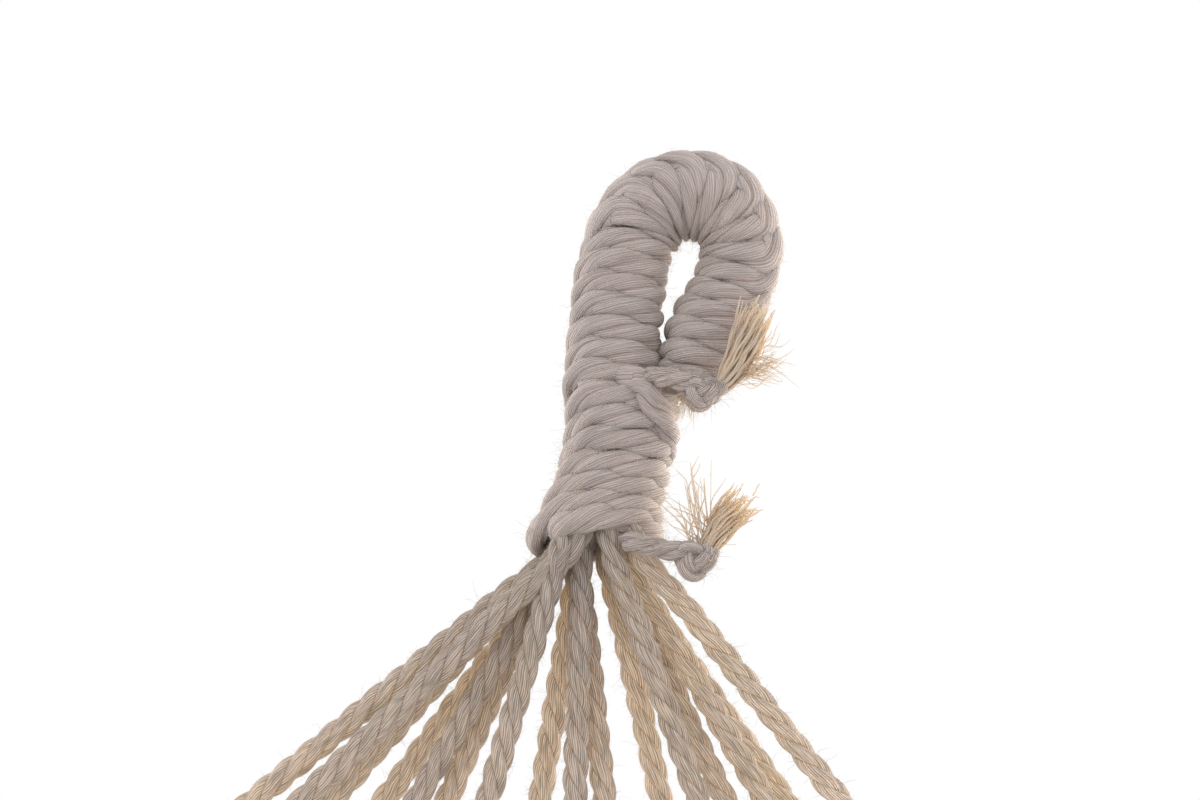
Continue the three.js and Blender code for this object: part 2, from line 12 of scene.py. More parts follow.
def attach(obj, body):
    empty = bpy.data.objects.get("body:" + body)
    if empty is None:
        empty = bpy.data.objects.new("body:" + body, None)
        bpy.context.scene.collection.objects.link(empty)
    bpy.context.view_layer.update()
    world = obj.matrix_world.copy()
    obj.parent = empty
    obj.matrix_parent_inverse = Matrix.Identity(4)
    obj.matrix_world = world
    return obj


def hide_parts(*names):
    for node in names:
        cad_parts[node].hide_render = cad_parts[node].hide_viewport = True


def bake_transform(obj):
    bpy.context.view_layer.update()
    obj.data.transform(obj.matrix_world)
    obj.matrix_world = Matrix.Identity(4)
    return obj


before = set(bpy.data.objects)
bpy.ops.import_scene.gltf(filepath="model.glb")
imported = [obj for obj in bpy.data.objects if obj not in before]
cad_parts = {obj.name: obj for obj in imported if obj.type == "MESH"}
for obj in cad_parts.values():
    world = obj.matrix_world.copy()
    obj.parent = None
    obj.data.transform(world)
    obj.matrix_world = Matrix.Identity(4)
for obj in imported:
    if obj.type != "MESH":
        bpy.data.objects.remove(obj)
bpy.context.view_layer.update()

MM = 0.001
TAU = 2 * math.pi
FRONT = np.array([0.0, -1.0, 0.0])
rng = np.random.default_rng(11)


def vec(*values):
    return np.array(values, float)


def unit(v):
    v = np.asarray(v, float)
    return v / np.maximum(np.linalg.norm(v, axis=-1, keepdims=True), 1e-12)


def smooth(t):
    t = np.clip(t, 0, 1)
    return t * t * (3 - 2 * t)


def linked(name, data):
    """A new object in the scene."""
    made = bpy.data.objects.new(name, data)
    bpy.context.scene.collection.objects.link(made)
    return made


# ---------------- node helpers
class Nodes:
    """Builds a node tree."""

    def __init__(self, tree):
        self.tree = tree
        tree.nodes.clear()

    def node(self, kind, **values):
        made = self.tree.nodes.new("ShaderNode" + kind)
        for key, value in values.items():
            setattr(made, key, value)
        return made

    def link(self, a, b):
        self.tree.links.new(a, b)

    def put(self, target, value):
        if isinstance(value, bpy.types.NodeSocket):
            self.link(value, target)
        else:
            target.default_value = value

    def fill(self, made, *values):
        """Puts values into a node's first inputs."""
        for socket, value in zip(made.inputs, values):
            self.put(socket, value)
        return made.outputs

    def math(self, operation, *values):
        return self.fill(self.node("Math", operation=operation), *values)[0]

    def times(self, a, b):
        return self.math("MULTIPLY", a, b)

    def times_plus(self, a, b, c):
        return self.math("MULTIPLY_ADD", a, b, c)

    def ramp(self, value, low, high, to_low=0.0, to_high=1.0):
        made = self.node("MapRange", interpolation_type="SMOOTHSTEP")
        return self.fill(made, value, low, high, to_low, to_high)[0]

    def combine(self, *values):
        return self.fill(self.node("CombineXYZ"), *values)[0]

    def split(self, vector):
        return self.fill(self.node("SeparateXYZ"), vector)

    def scaled(self, vector, factors):
        return self.fill(self.node("VectorMath", operation="MULTIPLY"), vector, factors)[0]

    def noise(self, vector, scale, detail=2.0, roughness=0.5, dimensions="3D"):
        made = self.node("TexNoise", noise_dimensions=dimensions)
        self.link(vector, made.inputs["Vector"])
        for key, value in (("Scale", scale), ("Detail", detail), ("Roughness", roughness)):
            made.inputs[key].default_value = value
        return made.outputs["Fac"]

    def mix(self, share, a, b, blend="MIX"):
        made = self.node("Mix", data_type="RGBA", blend_type=blend)
        for socket, value in ((0, share), (6, a), (7, b)):
            self.put(made.inputs[socket], (*value, 1.0) if isinstance(value, tuple) else value)
        return made.outputs[2]

    def tinted(self, tone, tint):
        return self.mix(1.0, tone, tint, "MULTIPLY")

    def shaded(self, tone, shade):
        return self.tinted(tone, self.combine(shade, shade, shade))

    def mixed(self, share, first, second):
        """Two shaders in one."""
        return self.fill(self.node("MixShader"), share, first, second)[0]


class Shader(Nodes):
    """A new material with its Principled shader."""

    def __init__(self, name):
        self.material = bpy.data.materials.new(name)
        self.material.use_nodes = True
        super().__init__(self.material.node_tree)
        self.out = self.node("OutputMaterial").inputs["Surface"]
        self.base = self.node("BsdfPrincipled")
        self.link(self.base.outputs[0], self.out)
        self.place = self.node("TexCoord").outputs["Object"]

    def uv(self):
        return self.split(self.node("UVMap", uv_map="UVMap").outputs[0])[:2]

    def attribute(self, name):
        return self.node("Attribute", attribute_name=name).outputs["Fac"]

    def bump(self, height, distance):
        made = self.node("Bump")
        made.inputs["Distance"].default_value = distance
        self.link(height, made.inputs["Height"])
        return made.outputs[0]

    def set(self, **values):
        for key, value in values.items():
            self.put(self.base.inputs[key.replace("_", " ")], value)


# ---------------- camera and light
PICTURE_WIDTH = 324.0
CAMERA_TARGET = vec(-18.4, 0, -46.1)
CAMERA_DISTANCE = 1500.0
CAMERA_ROLL = math.radians(6.05)
CAMERA_ELEVATION = math.radians(-12)
SENSOR_WIDTH = 36.0
CLIP_END = 100.0  # metres

# The world's strength in front and behind, where along Y it changes, and its colour
LIGHT_FRONT, LIGHT_BEHIND = 0.96, 1.2
LIGHT_FROM, LIGHT_TO = 0.1, 0.95
LIGHT_COLOUR = (1.0, 0.975, 0.98, 1)
# Square panels close to the eye, in metres: name, place, power, colour
PANELS = [
    ("back_panel", (0.42, 0.40, 0.06), 6.4, (1.0, 0.93, 0.80)),
    ("side_panel", (-0.45, 0.36, 0.0), 2.2, (1.0, 0.95, 0.86)),
]
PANEL_TARGET, PANEL_SIDE = (-0.02, 0, -0.09), 0.42
FILL_TOWARDS, FILL_STRENGTH, FILL_COLOUR = (0.35, 0.9, -0.45), 0.30, (1.0, 0.98, 0.97)
FILL_ANGLE, FILL_PLACE = math.radians(60), (0, 0, 2)


def make_camera():
    right = vec(math.cos(CAMERA_ROLL), 0, math.sin(CAMERA_ROLL))
    up = vec(-math.sin(CAMERA_ROLL), 0, math.cos(CAMERA_ROLL))
    back = np.cross(right, up)
    high, low = math.cos(CAMERA_ELEVATION), math.sin(CAMERA_ELEVATION)
    back, up = high * back + low * up, high * up - low * back
    place = (CAMERA_TARGET + CAMERA_DISTANCE * back) * MM
    data = bpy.data.cameras.new("camera")
    data.sensor_width = SENSOR_WIDTH
    data.lens = SENSOR_WIDTH * CAMERA_DISTANCE / PICTURE_WIDTH
    data.clip_end = CLIP_END
    camera = linked("camera", data)
    turn = np.eye(4)
    turn[:3] = np.stack([right, up, back, place], 1)
    camera.matrix_world = Matrix(turn.tolist())
    bpy.context.scene.camera = camera


def lamp(name, kind, place, towards, power, colour):
    data = bpy.data.lights.new(name, kind)
    data.energy, data.color = power, colour
    made = linked(name, data)
    made.location = place
    made.rotation_mode = "QUATERNION"
    made.rotation_quaternion = towards.to_track_quat("-Z", "Y")
    return made


def make_light():
    """A pale studio: soft all round, brighter behind the object, and white where it is seen.

    The panels' light has faded before it reaches the seat."""
    scene = bpy.context.scene
    scene.view_settings.view_transform = "Standard"
    scene.world = bpy.data.worlds.new("studio")
    scene.world.use_nodes = True
    s = Nodes(scene.world.node_tree)
    rays = s.node("LightPath").outputs
    seen = s.math("MAXIMUM", rays["Is Camera Ray"], rays["Is Glossy Ray"])
    seen = s.math("MAXIMUM", seen, rays["Is Transmission Ray"])
    way = s.split(s.node("TexCoord").outputs["Generated"])
    strength = s.ramp(way[1], LIGHT_FROM, LIGHT_TO, LIGHT_FRONT, LIGHT_BEHIND)
    soft = s.fill(s.node("Background"), LIGHT_COLOUR, strength)[0]
    white = s.fill(s.node("Background"), (1, 1, 1, 1), 1.0)[0]
    s.link(s.mixed(seen, soft, white), s.node("OutputWorld").inputs[0])
    for name, place, power, colour in PANELS:
        towards = Vector(PANEL_TARGET) - Vector(place)
        panel = lamp(name, "AREA", place, towards, power, colour)
        panel.data.shape, panel.data.size = "SQUARE", PANEL_SIDE
        panel.visible_camera = False
    fill = lamp("front_fill", "SUN", FILL_PLACE, Vector(FILL_TOWARDS), FILL_STRENGTH, FILL_COLOUR)
    fill.data.angle = FILL_ANGLE


make_camera()
make_light()


# ---------------- cotton
def linear(*colour):
    """The linear values of an 8-bit screen colour."""
    shares = [value / 255 for value in colour]
    return tuple(c / 12.92 if c <= 0.04045 else ((c + 0.055) / 1.055) ** 2.4 for c in shares)


YARNS_ROUND = 33
# Colour the cotton is multiplied by in the creases between its strands: painted crease shade
CREASE_SHADE_TINT = (0.76, 0.67, 0.60)
# Noise scales to a metre: the yarns' wander, fine fibres, and clouds and patches of tone
WANDER, FINE, CLOUDS, PATCHES = 260.0, 2600.0, 42.0, 11.0
# Coloured specks: cells to a metre, the share of cells without one, and two colours
FLECK_SCALE, FLECK_RARITY = 75.0, 0.965
FLECK_COLOURS = linear(190, 110, 86), linear(196, 160, 84)
SERVING_WARM = linear(209, 195, 189)


def cotton(
    name, colour, warm, yarn_pull=-0.85, depth=0.0004, thin=0.0, yarn_shade_and_streak=1.0, tint=(1, 1, 1)
):
    """Twisted cotton: yarns drawn along each strand from the piece's own texture coordinates.

    yarn_pull is the yarns' slant and depth the bump's height in metres. yarn_shade_and_streak is
    the strength of the shade painted between the yarns and of the fibre streaks' tone. thin is the
    share of light that comes through, with the colour tint."""
    s = Shader(name)
    round_share, lays = s.uv()
    drawn = s.times_plus(lays, yarn_pull, round_share)
    drawn = s.times_plus(s.noise(s.place, WANDER, 1.0), 0.02, drawn)
    wave = s.math("SINE", s.times(s.times(drawn, float(YARNS_ROUND)), TAU))
    lengthwise = s.combine(s.times(drawn, YARNS_ROUND * 1.3), s.times(lays, 3.0))
    fibre = s.noise(lengthwise, 1.0, 3.0, 0.6, "2D")
    height = s.times_plus(wave, 0.3, fibre)
    height = s.times_plus(s.noise(s.place, FINE, 3.0, 0.6), 0.35, height)
    cloud = s.noise(s.place, CLOUDS, 3.0, 0.55)
    patch = s.noise(s.place, PATCHES)
    tone = s.mix(s.ramp(cloud, 0.35, 0.7), colour, warm)
    tone = s.mix(s.ramp(patch, 0.4, 0.65, 0.0, 0.35), tone, tuple(c * 0.93 for c in colour))
    # Painted shade: darker in the valleys between the yarns, where the yarn wave is low; the
    # streaks after it vary the fibres' tone at random
    groove_shade = s.ramp(wave, -1.0, -0.1, 1 - 0.40 * yarn_shade_and_streak, 1.0)
    streak = s.ramp(fibre, 0.36, 0.64, 1 - 0.26 * yarn_shade_and_streak, 1 + 0.18 * yarn_shade_and_streak)
    tone = s.shaded(tone, s.times(groove_shade, streak))
    # Painted shade: where the crease attribute is high, between the strands, the tone is darkened
    # with the crease shade tint
    deep = s.ramp(s.attribute("crease"), 0.78, 1.0)
    tone = s.mix(deep, tone, s.tinted(tone, CREASE_SHADE_TINT))
    fleck = s.node("TexVoronoi", feature="F1")
    s.link(s.place, fleck.inputs["Vector"])
    fleck.inputs["Scale"].default_value = FLECK_SCALE
    near = s.ramp(fleck.outputs["Distance"], 0.05, 0.09, 1.0, 0.0)
    pick = s.fill(s.node("SeparateColor"), fleck.outputs["Color"])
    rare = s.math("GREATER_THAN", pick[0], FLECK_RARITY)
    tone = s.mix(s.times(s.times(near, rare), 0.75), tone, s.mix(pick[1], *FLECK_COLOURS))
    s.set(
        Base_Color=tone,
        Normal=s.bump(height, depth),
        Roughness=0.9,
        Sheen_Weight=0.35,
        Sheen_Roughness=0.6,
        Sheen_Tint=(1.0, 0.95, 0.86, 1),
        Specular_IOR_Level=0.15,
        Subsurface_Weight=0.0 if thin else 0.3,
        Subsurface_Scale=0.001,
        Subsurface_Radius=(2.2, 2.0, 1.8),
    )
    if thin:
        through = s.fill(s.node("BsdfTranslucent"), s.tinted(tone, tint))[0]
        s.link(s.mixed(thin, s.base.outputs[0], through), s.out)
    return s.material


cord_cotton = cotton(
    "cord_cotton",
    linear(248, 238, 233),
    linear(250, 239, 228),
    thin=0.5,
    yarn_shade_and_streak=1.2,
    tint=(1.0, 0.95, 0.81),
)
serving_cotton = cotton("serving_cotton", linear(200, 188, 185), SERVING_WARM, -0.15, yarn_shade_and_streak=0.75)
tail_cotton = cotton("tail_cotton", SERVING_WARM, linear(216, 200, 192), -0.5, yarn_shade_and_streak=1.1)
tuft_cotton = cotton(
    "tuft_cotton",
    linear(240, 230, 218),
    linear(244, 229, 206),
    depth=0.00002,
    thin=0.5,
    yarn_shade_and_streak=0.15,
    tint=(1.0, 0.97, 0.90),
)


# ---------------- meshes
def tube_quads(here, k, sides):
    """Faces between the ring of points that starts at here and the ring after it."""
    on = (k + 1) % sides
    return np.stack([here + k, here + on, here + sides + on, here + sides + k], -1).reshape(-1, 4)


class Skin:
    """Gathers the points, faces and texture coordinates of one piece."""

    def __init__(self):
        self.points, self.corners, self.sizes, self.uv, self.crease = [], [], [], [], []
        self.count = 0

    def add(self, points, crease=None):
        points = np.asarray(points, float).reshape(-1, 3)
        start = self.count
        self.points.append(points)
        self.crease.append(np.zeros(len(points)) if crease is None else np.ravel(crease))
        self.count += len(points)
        return start

    def faces(self, corners, uv=None):
        self.corners.append(corners.reshape(-1))
        self.sizes.append(np.full(len(corners), corners.shape[1]))
        self.uv.append(np.zeros((corners.size, 2)) if uv is None else uv.reshape(-1, 2))

    def lattice(self, rings, lays, crease=None, capped=True):
        """A tube over rings of points. lays is the texture's length coordinate at each ring."""
        count, sides = rings.shape[:2]
        start = self.add(rings, crease)
        r, k = np.meshgrid(np.arange(count - 1), np.arange(sides), indexing="ij")
        u0, u1, v0, v1 = k / sides, (k + 1) / sides, lays[r], lays[r + 1]
        uv = np.stack([u0, v0, u1, v0, u1, v1, u0, v1], -1)
        self.faces(tube_quads(start + r * sides, k, sides), uv)
        for ring, turn in ((0, -1), (count - 1, 1)) if capped else ():
            centre = self.add(rings[ring].mean(0))
            a = start + ring * sides + np.arange(sides)
            self.faces(np.stack([a, np.roll(a, -1), np.full(sides, centre)], -1)[:, ::turn])

    def build(self, name, material, sharp=None):
        corners, sizes = np.concatenate(self.corners), np.concatenate(self.sizes)
        starts = np.cumsum(sizes) - sizes
        mesh = bpy.data.meshes.new(name)
        mesh.vertices.add(self.count)
        mesh.vertices.foreach_set("co", np.concatenate(self.points).ravel() * MM)
        mesh.loops.add(len(corners))
        mesh.loops.foreach_set("vertex_index", corners.astype(np.int32))
        mesh.polygons.add(len(sizes))
        mesh.polygons.foreach_set("loop_start", starts.astype(np.int32))
        mesh.polygons.foreach_set("use_smooth", np.ones(len(sizes), bool))
        mesh.uv_layers.new(name="UVMap")
        mesh.update(calc_edges=True)
        mesh.uv_layers["UVMap"].uv.foreach_set("vector", np.concatenate(self.uv).ravel())
        # The crease attribute tells the materials where to paint shade: between a rope's strands
        # and beside a sewn layer's edge
        crease = mesh.attributes.new("crease", "FLOAT", "POINT")
        crease.data.foreach_set("value", np.concatenate(self.crease).astype(np.float32))
        mesh.validate()
        mesh.materials.append(material)
        if sharp is not None:
            mesh.set_sharp_from_angle(angle=math.radians(sharp))
        return linked(name, mesh)


# ---------------- lines
def lengths(points):
    steps = np.linalg.norm(np.diff(points, axis=0), axis=1)
    return np.concatenate([[0], np.cumsum(steps)])


def sample(at, run, rows):
    """Rows of a table that belong to the lengths run, at other lengths."""
    return np.stack([np.interp(at, run, column) for column in rows.T], -1)


def between(u, low, high, a, b):
    """The straight way from a at low to b at high."""
    return ((high - u) * a + (u - low) * b) / (high - low)


def curve(controls, step=0.5):
    """A smooth line through the control points, as dense points."""
    p = np.asarray(controls, float)
    p = np.vstack([2 * p[0] - p[1], p, 2 * p[-1] - p[-2]])
    out = []
    for i in range(1, len(p) - 2):
        gap = np.sqrt(np.linalg.norm(np.diff(p[i - 1 : i + 3], axis=0), axis=1)) + 1e-9
        t = np.concatenate([[0], np.cumsum(gap)])
        count = max(3, int(np.linalg.norm(p[i + 1] - p[i]) / step) + 1)
        u = np.linspace(t[1], t[2], count, endpoint=i == len(p) - 3)[:, None]
        a = [between(u, t[j], t[j + 1], p[i - 1 + j], p[i + j]) for j in range(3)]
        b = [between(u, t[j], t[j + 2], a[j], a[j + 1]) for j in range(2)]
        out.append(between(u, t[1], t[2], *b))
    return np.vstack(out)


def spaced(points, spacing):
    """The same line with points spacing(point) apart."""
    run = lengths(points)
    at, places = 0.0, []
    while at < run[-1]:
        places.append(at)
        at += spacing(sample(at, run, points))
    places.append(run[-1])
    if len(places) > 2 and places[-1] - places[-2] < 0.2:
        places.pop(-2)
    return sample(places, run, points)


def frames(points):
    """Direction, and two square directions carried along without turning."""
    way = unit(np.gradient(points, axis=0))
    side = np.zeros_like(points)
    side[0] = unit(np.cross(way[0], vec(0, 0, 1) if abs(way[0, 2]) < 0.9 else vec(1, 0, 0)))
    for i in range(1, len(points)):
        s = side[i - 1] - way[i] * (side[i - 1] @ way[i])
        side[i] = s / np.linalg.norm(s)
    return way, side, np.cross(way, side)


def wobble(count, reach, amount):
    """Smooth random change along a row of rings, about 1."""
    knots = rng.normal(0, amount, max(4, int(count / reach) + 2))
    return 1 + np.interp(np.linspace(0, len(knots) - 1, count), np.arange(len(knots)), knots)


# ---------------- ropes and fibres
# A three-strand rope's section: the strands' distance from its middle, and their radius
LOOSE, PRESSED, TAIL = (1.42, 1.86), (1.25, 2.05), (1.3, 1.85)
ROPE_WOBBLE = 12, 0.018
HAIR_RADII = 0.035 * np.array([1, 1, 0.9, 0.8, 0.6, 0.2])
HAIR_LIFT, HAIR_ROOT = 0.75, 0.15


def trefoil(per_lobe, offset, radius):
    """Three strands' outline, with the greatest radius 1. Each strand starts in a valley."""
    foot = offset / 2 + math.sqrt(radius**2 - 0.75 * offset**2)
    reach = math.atan2(foot * math.sin(math.pi / 3), foot / 2 - offset)
    swing = -reach + 2 * reach * np.arange(per_lobe) / per_lobe
    lobe = np.stack([offset + radius * np.cos(swing), radius * np.sin(swing)], 1)
    out = []
    for j in range(3):
        c, s = math.cos(j * TAU / 3), math.sin(j * TAU / 3)
        out.append(lobe @ np.array([[c, s], [-s, c]]))
    return np.vstack(out) / (offset + radius)


def rope(skin, points, size, lay, shape=LOOSE, per_lobe=8, phase=0.0, axes=None, swell=1.0):
    """A three-strand rope on a line. size is its half width, or the half widths along axes."""
    section = trefoil(per_lobe, *shape)
    # valley is highest in the creases between the strands; the cotton material paints shade there
    valley = 1 - np.linalg.norm(section, axis=1)
    run = lengths(points)
    first, second = axes or frames(points)[1:]
    turn = phase - TAU * run / lay
    cos, sin = np.cos(turn)[:, None], np.sin(turn)[:, None]
    x = cos * section[:, 0] - sin * section[:, 1]
    y = sin * section[:, 0] + cos * section[:, 1]
    scale = wobble(len(points), *ROPE_WOBBLE) * swell
    half = np.broadcast_to(size, (2, len(points))) * scale
    x, y = x * half[0][:, None], y * half[1][:, None]
    rings = points[:, None] + x[..., None] * first[:, None] + y[..., None] * second[:, None]
    skin.lattice(rings, run / lay, np.broadcast_to(valley / valley.max(), x.shape))
    return rings


def whiskers(root, way, aside, reach, share, bow):
    """Lines that leave their roots along way and bow aside."""
    return (
        root[:, None]
        + way[:, None] * (reach * share)[..., None]
        + aside[:, None] * (reach * bow)[..., None]
    )


def hairs(skin, rings, count, length, allowed=None):
    """Loose fibres that stand off a rope's skin, at the allowed rings."""
    total, sides = rings.shape[:2]
    allowed = np.arange(total) if allowed is None else allowed
    r = np.clip(rng.choice(allowed, count), 1, total - 2)
    k = rng.integers(0, sides, count)
    root = rings[r, k]
    out = unit(root - rings[r].mean(1))
    along = unit(rings[r + 1, k] - rings[r - 1, k])
    heading = HAIR_LIFT * out + along * rng.normal(0, 0.9, (count, 1))
    heading = unit(heading + rng.normal(0, 0.4, (count, 3)))
    curl = unit(np.cross(heading, rng.normal(0, 1, (count, 3))))
    reach = length * rng.uniform(0.35, 1.25, (count, 1)) ** 1.5
    bend = rng.normal(0, 0.5, (count, 1))
    wave = rng.normal(0, 0.12, (count, 1))
    t = np.linspace(0, 1, len(HAIR_RADII))
    bow = bend * t**2 + wave * np.sin(7 * t)
    strands(skin, whiskers(root - out * HAIR_ROOT, heading, curl, reach, t, bow), HAIR_RADII, 3)


def strands(skin, lines, radii, sides, lays=6.0):
    """Many thin closed tubes at once. lines is count x points x 3."""
    count, steps = lines.shape[:2]
    way = unit(np.gradient(lines, axis=1))
    aside = unit(np.cross(way, np.broadcast_to(vec(0.31, 0.55, 0.77), way.shape)))
    other = np.cross(way, aside)
    angle = TAU * np.arange(sides) / sides
    cos, sin = np.cos(angle)[:, None], np.sin(angle)[:, None]
    spokes = aside[:, :, None] * cos + other[:, :, None] * sin
    rings = lines[:, :, None] + spokes * np.broadcast_to(radii, (count, steps))[..., None, None]
    start = skin.add(rings)
    n, i, k = np.meshgrid(np.arange(count), np.arange(steps - 1), np.arange(sides), indexing="ij")
    v = i / steps * lays
    u = rng.random(count)[:, None, None] + k / sides / 12
    uv = np.stack([u, v, u + 0.02, v, u + 0.02, v + 0.1, u, v + 0.1], -1)
    skin.faces(tube_quads(start + (n * steps + i) * sides, k, sides), uv)
    for end, turn in ((0, -1), (steps - 1, 1)):
        ring = start + (np.arange(count) * steps + end) * sides
        skin.faces((ring[:, None] + np.arange(sides))[:, ::turn])


# ---------------- sizes, as in the CAD
CORD = 6.6
CORD_LAY = 23.0
MIDDLE = -13.0
LEG = 24.6
EYE_RADIUS = 15.5
EYE_FROM, EYE_TO = math.radians(175), math.radians(-15)
LEFT_LEG, RIGHT_LEG = 26.0, 21.0
# Sideways shift of the eye's middle line towards its foot, by turn
EYE_SHIFT = np.array([(-3.0, 3.2), (-2.5, 2.9), (0, 1.5), (1.5, 0.4), (3.5, 0)])
EYE_TURNS = 16
NECK_TURNS = 8
NECK_LENGTH = 49.0
# Neck stations from the top down: middle, half width across and half depth, and squareness
NECK = np.array([
    (-6.5, 21.5, 13.2, 0.72), (-9.5, 19.0, 13.7, 0.78), (-12.6, 14.9, 14.8, 0.9),
    (-11.6, 14.9, 15.4, 1), (-12.1, 15.1, 15.4, 1), (-13.1, 15.1, 15.2, 1),
    (-14.4, 16.6, 15.8, 1), (-15.6, 18.5, 16.6, 1),
])
# Swelling of the eye's winding on its inner and outer sides, by turn
EYE_INNER = np.array([
    (-3.4, 0.6), (0, 0.9), (2, 0.7), (5.5, 0.6), (7, -0.2), (8.5, -1.2), (10, -2.0),
    (11.5, -1.3), (13, -0.8), (14.3, -0.2), (15.2, 0.9), (16.2, 1.0), (18, -0.5),
])
EYE_OUTER = np.array([
    (-3, -0.2), (0, 0.3), (2, 0.0), (4, -0.7), (5.5, -1.2), (6.3, -0.6), (7, 0.1), (8.2, 0.7),
    (9.2, 1.0), (10.2, -0.3), (11.2, -1.2), (13, -1.5), (14.5, -0.8), (16, -0.4), (17, -2.0),
    (18, -4.0),
])


def eye_line(share):
    """Middle line of the eye, and its outward direction, at shares of its length."""
    share = np.asarray(share, float)
    arc = EYE_RADIUS * (EYE_FROM - EYE_TO)
    run = share * (LEFT_LEG + arc + RIGHT_LEG) - LEFT_LEG
    on_arc = np.clip(run, 0, arc)
    angle = EYE_FROM - on_arc / EYE_RADIUS
    zero = np.zeros_like(angle)
    spoke = np.stack([np.cos(angle), zero, np.sin(angle)], -1)
    way = np.stack([np.sin(angle), zero, -np.cos(angle)], -1)
    centre = vec(0, 0, LEG / 2 - EYE_RADIUS) + spoke * EYE_RADIUS + way * (run - on_arc)[..., None]
    shift = np.interp(share * EYE_TURNS, *EYE_SHIFT.T)[..., None]
    return centre + vec(1, 0, 0) * shift, spoke


NECK_TOP = min(eye_line(end)[0][2] for end in (0.0, 1.0)) - 6.75
APEX = NECK_TOP - NECK_LENGTH + 10.1
HOLE_SPACING, HOLES = 58.0, 16
BAR_DIAMETER = 32.0
BAR_HALF = (HOLES - 1) * HOLE_SPACING / 2 + 60
BAR = APEX - 473.0
hole_x = [MIDDLE + (i - (HOLES - 1) / 2) * HOLE_SPACING for i in range(HOLES)]
KNOT_TOP = BAR - BAR_DIAMETER / 2 - 0.3
KNOT_FOOT = KNOT_TOP - 14.0


def neck_place(station, angle, depth):
    """A point under the neck's outer face. station runs from 0 at the top to NECK_TURNS."""
    share = np.clip(station / NECK_TURNS, 0, 1) * (len(NECK) - 1)
    below = np.minimum(share.astype(int), len(NECK) - 2)
    part = share - below
    part = smooth(part) * 0.35 + part * 0.65
    low, high = NECK[below], NECK[below + 1]
    x, across, deep, power = (low + (high - low) * part[..., None]).T
    sin, cos = np.sin(angle), np.cos(angle)
    # the last turns sag on the left and lift in front
    sag = np.clip((station - 5) / 3, 0, 1.2) ** 2
    z = NECK_TOP - station / NECK_TURNS * NECK_LENGTH
    z = z + sag * (3.2 * np.clip(cos + 0.3 * sin, 0, 1) ** 1.5 + np.where(sin < 0, 2.6, 1.2) * sin)
    x = x + (across - depth) * np.sign(sin) * np.abs(sin) ** power
    return np.stack([x, -(deep - depth) * np.sign(cos) * np.abs(cos) ** power, z], -1)


def stand_in(node):
    """Hides the CAD node that a new piece stands for."""
    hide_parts(node)


def piece(made, body, node):
    """One new piece on one body."""
    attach(made, body)
    stand_in(node)


# ---------------- servings
EYE_RIDGE = math.radians(104), math.radians(34)
NECK_RIDGE = math.radians(-30), math.radians(-100)
SERVING_LAY = 36.0
SERVING_HALF = 3.0
SERVING_SPREAD = 0.65  # half width of a pressed turn, as a share of the pitch
SERVING_DEPTH = 2.9
CORE_HALF, CORE_DEPTH = 8.4, 5.8
# Station, angle and depth of the neck winding's first turn, which crosses the front slantwise
NECK_START = [
    (1.0, -0.20, 4.6), (1.45, 0.10, 0.6), (2.0, 0.40, -0.6), (2.6, 0.75, -0.5), (3.3, 1.15, 1.0),
    (3.9, 1.65, 2.6), (4.4, 2.2, 4.8),
]


def winding(start, end, ridge, per_turn, kept, shifts):
    """Angle and station of turns that each stay level and then step on at the ridge.

    The angle falls as the turns go on. The step lies between the ridge's two angles, and the third
    result is 1 in its middle. Only stations between kept's two stay. shifts is the size of small
    random shifts of whole turns."""
    first, last = ridge
    angle = -TAU * np.linspace(start, end, int((end - start) * per_turn) + 1)
    level = 1 - (first - last) / TAU
    part = (last - angle) / TAU
    whole = np.floor(part)
    step = (part - whole - level) / (1 - level)
    station = whole + smooth(step) - math.floor(last / TAU)
    keep = (station > kept[0]) & (station < kept[1])
    station = station[keep]
    knots = np.arange(math.floor(station.min()) - 1, math.ceil(station.max()) + 2)
    station = station + np.interp(station, knots, rng.normal(0, shifts, len(knots)))
    return angle[keep], station, np.clip(1 - np.abs(2 * step - 1), 0, 1)[keep]


def bedding(crossing, rise):
    """Depth of a winding's middle line, which rises where the turns cross."""
    return SERVING_DEPTH - rise * crossing + 0.35 * (wobble(len(crossing), 40, 0.5) - 1)


def outward_axes(points, outward):
    way = unit(np.gradient(points, axis=0))
    first = unit(outward - way * (outward * way).sum(1, keepdims=True))
    return first, np.cross(way, first)


def wound(skin, points, outward, size):
    axes = outward_axes(points, outward)
    return rope(skin, points, size, SERVING_LAY, PRESSED, 10, axes=axes)


def fuzz(name, rings, *kinds):
    """A serving's loose fibres, as an object of their own. kinds are counts and lengths."""
    skin = Skin()
    for count, length in kinds:
        hairs(skin, rings, count, length)
    made = skin.build(name, tuft_cotton)
    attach(made, "eye")


def eye_place(station, angle, depth):
    centre, out = eye_line(station / EYE_TURNS)
    sin, cos = np.sin(angle), np.cos(angle)
    swell = np.interp(station, *EYE_INNER.T) * np.clip(-sin, 0, 1)
    swell = swell + np.interp(station, *EYE_OUTER.T) * np.clip(sin, 0, 1)
    reach = LEG / 2 - depth + swell
    outward = cos[..., None] * FRONT + sin[..., None] * out
    return centre + reach[..., None] * outward, outward


def eye_serving():
    kept = -3.1, EYE_TURNS + 2.4
    angle, station, crossing = winding(-4.6, EYE_TURNS + 4.2, EYE_RIDGE, 84, kept, 0.045)
    before, after = (eye_place(station + side, angle, 3.0)[0] for side in (-0.5, 0.5))
    pitch = np.linalg.norm(after - before, axis=1)
    wide = np.clip(SERVING_SPREAD * pitch, 1.8, 5.6)
    thick = np.clip(SERVING_HALF * (3.4 / wide) ** 0.35, 2.5, 3.5)
    # the end goes in under the winding
    depth = bedding(crossing, 1.3) + 6 * smooth((station - EYE_TURNS - 2.0) / 0.4)
    skin = Skin()
    rings = wound(skin, *eye_place(station, angle, depth), np.stack([thick, wide]))
    fuzz("eye_fuzz", rings, (9000, 1.5), (1800, 4.0))
    return skin.build("eye_serving_rope", serving_cotton)


